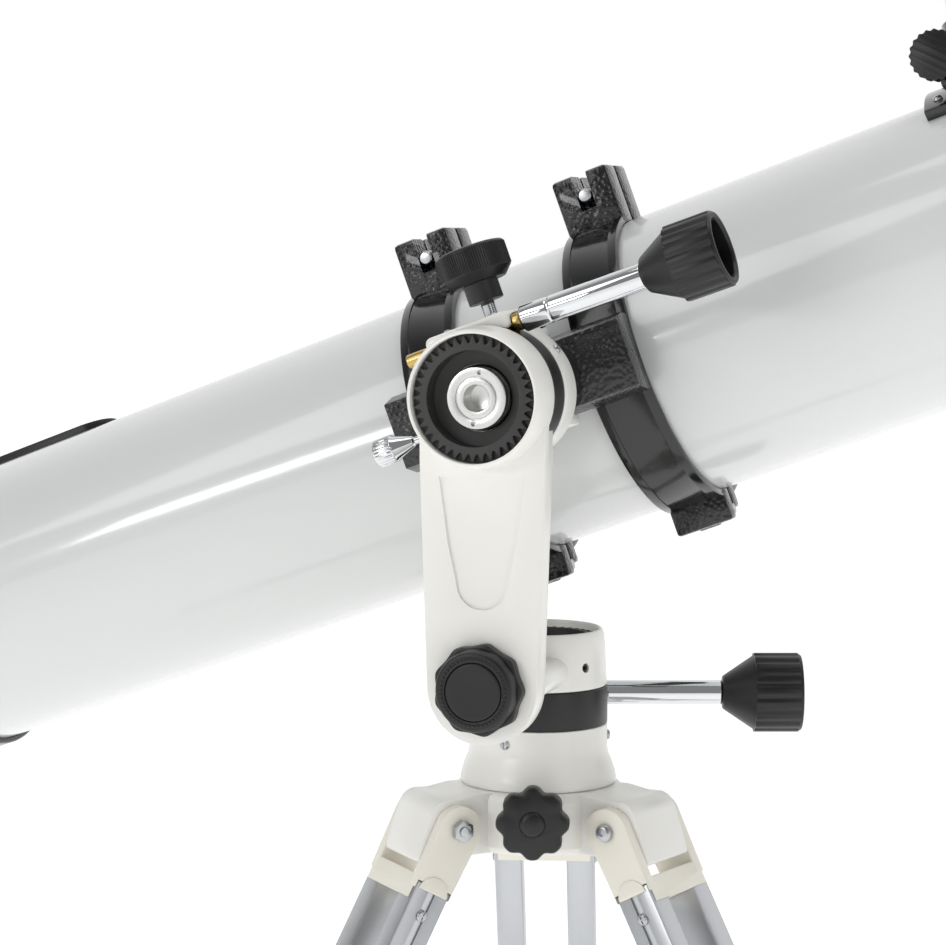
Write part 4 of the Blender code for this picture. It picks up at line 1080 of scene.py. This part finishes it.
# ---------------------------------------------------------------- tripod
@dataclass
class Tripod:
    """Hub, star clamp, tray and the three legs with their braces."""

    hinge_r: float = 61.5
    hinge_drop: float = 235.0
    plinth: float = 217.3
    first: float = 104.7
    star_z: float = 229.0
    body: str = "tripod"

    def hub(self) -> None:
        """The white hub with three pairs of lugs."""
        base = PLACES.head @ shift(0, 0, -self.plinth)
        body = turned([(0, 0), (42, 0), (45.5, -1.5), (47, -5), (47, -30), (45, -33.5), (0, -33.5)], 144, 0.6)
        top, r = self.plinth - self.hinge_drop, self.hinge_r
        lug = ([(20, -0.2), (46, -0.4), (59, -2.4)] + arc(r + 3.5, -13.0, 11.0, 82, 12, 14)
               + [(r + 19, top - 6), (r + 22, top - 16), (r + 21, top - 17.5), (r - 12, top - 16), (20, -33.2)])
        spokes = [turn(self.first + 120 * i, "Z") for i in range(3)]
        lugs = [plate(lug, -21.5, 21.5, 1.6, spoke @ FRONT) for spoke in spokes]
        bores = [bar(4.0, -25, 25, 0, 32, spoke @ shift(r, 0, top) @ FRONT) for spoke in spokes]
        star = shift(0, 0, self.plinth - self.star_z) @ turn(self.first + 180, "Z") @ ALONG
        hub = cut(fused(body, *lugs, bar(10.5, 30, 50, 0.8, 64, star)), *bores, bar(4.3, 38, 56, 0, 32, star))
        done(softened(hub, 0.4, 50), "hub_casting", self.body, CAST_PAINT, base, ["tripod_hub"])
        place = PLACES.head @ shift(0, 0, -self.star_z) @ turn(self.first + 180, "Z") @ ALONG
        knob = fused(plate(lobes(19.7, 2.6, 8, 16, 1.6), 56.0, 68.0, 2.2), bar(8.0, 50.4, 57, 0.8, 64),
                     turned([(0, 66), (7.0, 66), (7.0, 68.6), (5.0, 70.2), (0, 70.8)], 64, 0.8),
                     bar(4.0, 41, 58, 0.3))
        done(knob, "star_clamp_knob", "star_clamp", NYLON, place, ["star_knob"])

    def tray(self) -> None:
        """The three-lobed tray with its rim and its eyepiece holes."""
        tray = joint("tray_level")["pos_m"]
        x, y, _ = joint("azimuth")["pos_m"]
        place = Matrix.Translation((x, y, tray[2])) @ turn(self.first, "Z")
        outline: Outline = []
        for i in range(144):
            a = FULL * i / 144
            reach = 30.0 + 48.0 * (0.5 + 0.5 * math.cos(3.0 * (a - math.pi / 3.0))) ** 0.7
            outline.append((reach * math.cos(a), reach * math.sin(a)))
        top = plate(outline, 8.0, 12.0, 1.0)
        adds, cuts = [], []
        for i in range(3):
            spoke = turn(120 * i, "Z")
            adds += [slab((19, 29.4), (y0, y0 + 3.4), (-3.0, 9.0), 0.4, spoke) for y0 in (-10.4, 7.0)]
            adds.append(bar(2.0, -8, 8, 0, 24, spoke @ shift(26, 0, 0) @ FRONT))
            cuts.append(slab((17.0, 60.0), (-6.2, 6.2), (4.0, 16.0), 0, spoke))
            cuts.append(bar(16.2, 0, 20, 0, 96, turn(120 * i + 60, "Z") @ shift(54, 0, 0)))
        done(softened(cut(fused(top, *adds), *cuts), 0.35, 50), "eyepiece_tray", "tray", NYLON, place,
             ["accessory_tray"])

    def build(self) -> None:
        """Make the hub, the tray and the legs."""
        self.hub()
        self.tray()
        for number in (1, 2, 3):
            Leg(number).build()


@dataclass
class Leg:
    """One leg: bracket, rails, clamp, lower leg, foot and brace."""

    number: int
    rail: tuple[float, float] = (13.0, 29.0)
    half: float = 10.7
    end: float = 440.0
    top: float = 33.5
    brace: float = 250.0
    inward: float = 22.0

    @property
    def place(self) -> Matrix:
        """The leg's frame."""
        return PLACES.leg(self.number)

    @property
    def grain(self) -> Matrix:
        """A frame whose Z runs along the leg, for the drawing lines."""
        return self.place @ UPWARD

    def bracket(self) -> None:
        """The cream bracket with its raised cheeks, bolt and nut."""
        g, body = 0.3, f"leg_{self.number}"
        cheek = arc(0, 0, 12.7, 180, 0, 40) + [(11.4, -37.5), (-11.4, -37.5)]
        block = slab((-11.4, 11.4), (-44.0, -30.5), (-27, 27), 0.8)
        cheeks = [plate(cheek, 21.8, 29.2, 0.8), plate(cheek, -29.2, -21.8, 0.8)]
        panel = arc(0, -37.0, 9.0, 0, 180, 32)
        panels = [plate(panel, 28.0, 30.0, 0.7), plate(panel, -30.0, -28.0, 0.7)]
        pins = [bar(3.7, 6, 23.8, 0.2, 32), bar(3.7, -23.8, -6, 0.2, 32)]
        sockets = [slab((-self.half - g, self.half + g), (-60, -self.top + g), (lo - g, hi + g), 0)
                   for lo, hi in (self.rail, (-self.rail[1], -self.rail[0]))]
        done(cut(fused(block, *cheeks, *panels, *pins), *sockets), f"hinge_bracket_{self.number}", body,
             CREAM_ABS, self.place, [f"leg_bracket_{self.number}"])
        nut = fused(plate(arc(0, 0, 6.2, 0, 300, 5), -33.6, -30.1, 0.5), bar(2.9, -35.0, -32.0, 0.5, 32))
        done(nut, f"hinge_nut_{self.number}", body, ZINC, self.place)
        bolt = cut(turned([(0, 30.1), (4.8, 30.1), (4.8, 32.0), (3.4, 33.2), (0, 33.6)], 48, 0.4),
                   plate(arc(0, 0, 1.8, 0, 300, 5), 32.2, 36, 0))
        done(bolt, f"hinge_bolt_{self.number}", body, ZINC, self.place)

    def rails(self) -> None:
        """The two fluted rails with the brace ears and their screws."""
        body, h = f"leg_{self.number}", self.half
        flute = [(-2.2, -500), (2.2, -500), (2.2, 0), (-2.2, 0)]
        both = [slab((-h, h), (-self.end, -self.top), (lo, hi), 1.4)
                for lo, hi in (self.rail, (-self.rail[1], -self.rail[0]))]
        strip = slab((-h - 2.0, -h + 1.0), (-self.brace - 18, -self.brace + 18), (-27, 27), 0.4)
        ear = ([(-h - 1, -self.brace + 12)] + arc(-self.inward, -self.brace, 6, 90, 270, 20)
               + [(-h - 1, -self.brace - 12)])
        ears = [plate(ear, 5.3, 8.6, 0.5), plate(ear, -8.6, -5.3, 0.5)]
        cuts = [plate(flute, 27.8, 32, 0), plate(flute, -32, -27.8, 0),
                bar(2.4, -12, 12, 0, 24, shift(-self.inward, -self.brace, 0))]
        done(cut(fused(both[0], both[1], strip, *ears), *cuts), f"upper_rails_{self.number}", body, RAIL,
             self.place, [f"leg_rails_{self.number}"], self.grain)
        screw = cut(turned([(0, 28.6), (3.2, 28.6), (3.2, 29.8), (2.2, 30.6), (0, 30.9)], 32, 0.2),
                    slab((-4, 4), (-0.4, 0.4), (30.1, 33), 0), slab((-0.4, 0.4), (-4, 4), (30.1, 33), 0))
        places = [shift(0, s, 0) @ turn(a, "Y") for s in (-50, -415) for a in (0, 180)]
        done(copied(screw, places), f"rail_screws_{self.number}", body, ZINC, self.place)

    def lower(self) -> None:
        """The clamp block, its knob, the sliding lower leg and its foot."""
        n, g, h = self.number, 0.3, self.half
        block = slab((-14.5, 14.5), (-466, -428), (-32.5, 32.5), 2.2)
        boss = bar(8.5, 12, 21, 0.8, 48, shift(0, -454, 0) @ ALONG)
        sockets = [slab((-h - g, h + g), (-self.end - g, -400), (lo - g, hi + g), 0)
                   for lo, hi in (self.rail, (-self.rail[1], -self.rail[0]))]
        bore = slab((-9.3, 9.3), (-500, -400), (-12.9, 12.9), 0)
        hole = bar(3.4, 6, 30, 0, 32, shift(0, -454, 0) @ ALONG)
        done(cut(fused(block, boss), *sockets, bore, hole), f"clamp_block_{n}", f"leg_{n}", CREAM_ABS,
             self.place, [f"leg_clamp_{n}"])
        knob = fused(plate(lobes(13.0, 2.4, 6, 16), 21.4, 33.0, 1.6), bar(3.0, 9.6, 23, 0.3, 32),
                     turned([(0, 31), (7.5, 31), (7.5, 34.4), (5.6, 35.4), (0, 35.5)], 64, 0.6))
        done(knob, f"clamp_knob_{n}", f"clamp_screw_{n}", NYLON, self.place @ shift(0, -454, 0) @ ALONG,
             [f"leg_clamp_knob_{n}"])
        stick = slab((-9, 9), (-776, -330), (-12.6, 12.6), 1.2)
        flutes = [slab((-3.5, 3.5), (-790, -300), (11.6, 16), 0), slab((-3.5, 3.5), (-790, -300), (-16, -11.6), 0)]
        done(cut(stick, *flutes), f"lower_leg_bar_{n}", f"lower_leg_{n}", RAIL, self.place,
             [f"leg_inner_{n}"], self.grain)
        lean = self.place.to_3x3().col[0].z / self.place.to_3x3().col[1].z
        drop = self.place.translation.z / self.place.to_3x3().col[1].z / MM
        outline = [(-12, -752), (-15, 15 * lean - drop), (15, -15 * lean - drop), (12, -752)]
        foot = cut(plate(outline, -17, 17, 0.5), slab((-9.3, 9.3), (-776.3, -700), (-12.9, 12.9), 0))
        done(foot, f"rubber_foot_{n}", f"lower_leg_{n}", RUBBER, self.place, [f"leg_foot_{n}"])

    def strut(self) -> None:
        """The flat brace down to the tray."""
        n, length = self.number, 250.0
        pivot = Vector(joint(f"brace_{n}_fold")["pos_m"])
        tray = joint("tray_level")["pos_m"][2]
        x, y, _ = joint("azimuth")["pos_m"]
        outward = Vector((pivot.x - x, pivot.y - y, 0.0)).normalized()
        low = Vector((x, y, tray)) + outward * 26.0 * MM
        up = (pivot - low).normalized()
        side = -Vector(joint(f"brace_{n}_fold")["axis"])
        place = basis(up.cross(side), up, side, pivot)
        outline = arc(0, 0, 5.5, 0, 180, 24) + arc(0, -length, 6.6, 180, 360, 24)
        groove = [(-2.2, -length + 22), (2.2, -length + 22), (2.2, -22), (-2.2, -22)]
        strut = cut(fused(plate(outline, -4.8, 4.8, 0.6), bar(2.1, -8.4, 8.4, 0.2, 32)),
                    plate(groove, 3.6, 6, 0), plate(groove, -6, -3.6, 0), bar(4.4, -8, 8, 0, 48, shift(0, -length, 0)))
        done(strut, f"brace_strut_{n}", f"brace_{n}", RAIL, place, [f"brace_arm_{n}"], place @ UPWARD)

    def build(self) -> None:
        """Make every piece of the leg."""
        self.bracket()
        self.rails()
        self.lower()
        self.strut()


# ---------------------------------------------------------------- studio
@dataclass
class Studio:
    """Pale floor, soft lights and the camera."""

    eye: tuple[float, float, float] = (0.4672, -1.5479, 1.0220)
    pitch: float = 85.35
    heading: float = 18.74
    lens: float = 108.52
    sky_front: float = 0.28
    sky_behind: float = 1.0
    floor_glow: float = 0.55

    def light(self, name: str, spot: tuple, aim: tuple, size: tuple[float, float], watts: float) -> None:
        """Add a soft rectangular light.

        Args:
            name: Its name.
            spot: Where it hangs, in metres.
            aim: The point that it faces.
            size: Its sides in metres.
            watts: Its power.
        """
        lamp = bpy.data.lights.new(name, "AREA")
        lamp.shape, lamp.size, lamp.size_y, lamp.energy = "RECTANGLE", size[0], size[1], watts
        held = bpy.data.objects.new(name, lamp)
        bpy.context.scene.collection.objects.link(held)
        held.location = spot
        held.rotation_euler = (Vector(aim) - Vector(spot)).to_track_quat("-Z", "Y").to_euler()

    def build(self) -> None:
        """Lay the floor, hang the lights and set the camera."""
        bpy.ops.object.select_all(action="DESELECT")
        bpy.ops.mesh.primitive_plane_add(size=60.0, location=(0, 0, 0))
        floor = bpy.context.object
        floor.name = "floor"
        paint = bpy.data.materials.new("floor_paint")
        paint.use_nodes = True
        shader = paint.node_tree.nodes["Principled BSDF"]
        shader.inputs["Base Color"].default_value = linear("f4f4f4")
        shader.inputs["Roughness"].default_value = 0.9
        shader.inputs["Emission Color"].default_value = linear("ffffff")
        shader.inputs["Emission Strength"].default_value = self.floor_glow
        floor.data.materials.append(paint)
        scene = bpy.context.scene
        world = bpy.data.worlds.new("studio")
        world.use_nodes = True
        tree = world.node_tree
        sky = tree.nodes["Background"]
        sky.inputs[0].default_value = (1.0, 1.0, 1.0, 1.0)
        way = add(tree, "ShaderNodeTexCoord", {}, {}).outputs["Generated"]
        parts = add(tree, "ShaderNodeSeparateXYZ", {}, {"Vector": way})
        limits = {"From Min": -0.2, "From Max": 0.5, "To Min": self.sky_front, "To Max": self.sky_behind}
        behind = add(tree, "ShaderNodeMapRange", limits, {"Value": parts.outputs["Y"]})
        tree.links.new(behind.outputs[0], sky.inputs[1])
        scene.world = world
        scene.view_settings.view_transform = "Standard"
        self.light("key", (-1.6, -2.2, 2.6), (0, 0, 0.9), (1.6, 1.2), 12.0)
        self.light("fill", (2.4, -1.6, 1.4), (0, 0, 0.9), (1.4, 1.8), 7.0)
        self.light("top", (0.2, -0.3, 2.8), (0, 0, 0.9), (2.2, 0.7), 9.0)
        self.light("strip", (-0.95, -1.75, 1.25), (-0.1, 0, 0.95), (0.8, 0.18), 5.0)
        camera = bpy.data.cameras.new("camera")
        camera.lens, camera.sensor_width, camera.clip_end = self.lens, 36.0, 100.0
        held = bpy.data.objects.new("camera", camera)
        scene.collection.objects.link(held)
        held.location = self.eye
        held.rotation_euler = (math.radians(self.pitch), 0.0, math.radians(self.heading))
        scene.camera = held


def main() -> None:
    """Build every sub-assembly in order."""
    logging.basicConfig(level=logging.INFO, format="%(message)s")
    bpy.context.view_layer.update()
    Studio().build()
    OpticalTube().build()
    Focuser().build()
    Finder().build()
    TubeRing("rear", -54.0).build()
    TubeRing("front", 47.0).build()
    Saddle().build()
    Arm().build()
    AzimuthHead().build()
    Tripod().build()


if __name__ == "__main__":
    main()
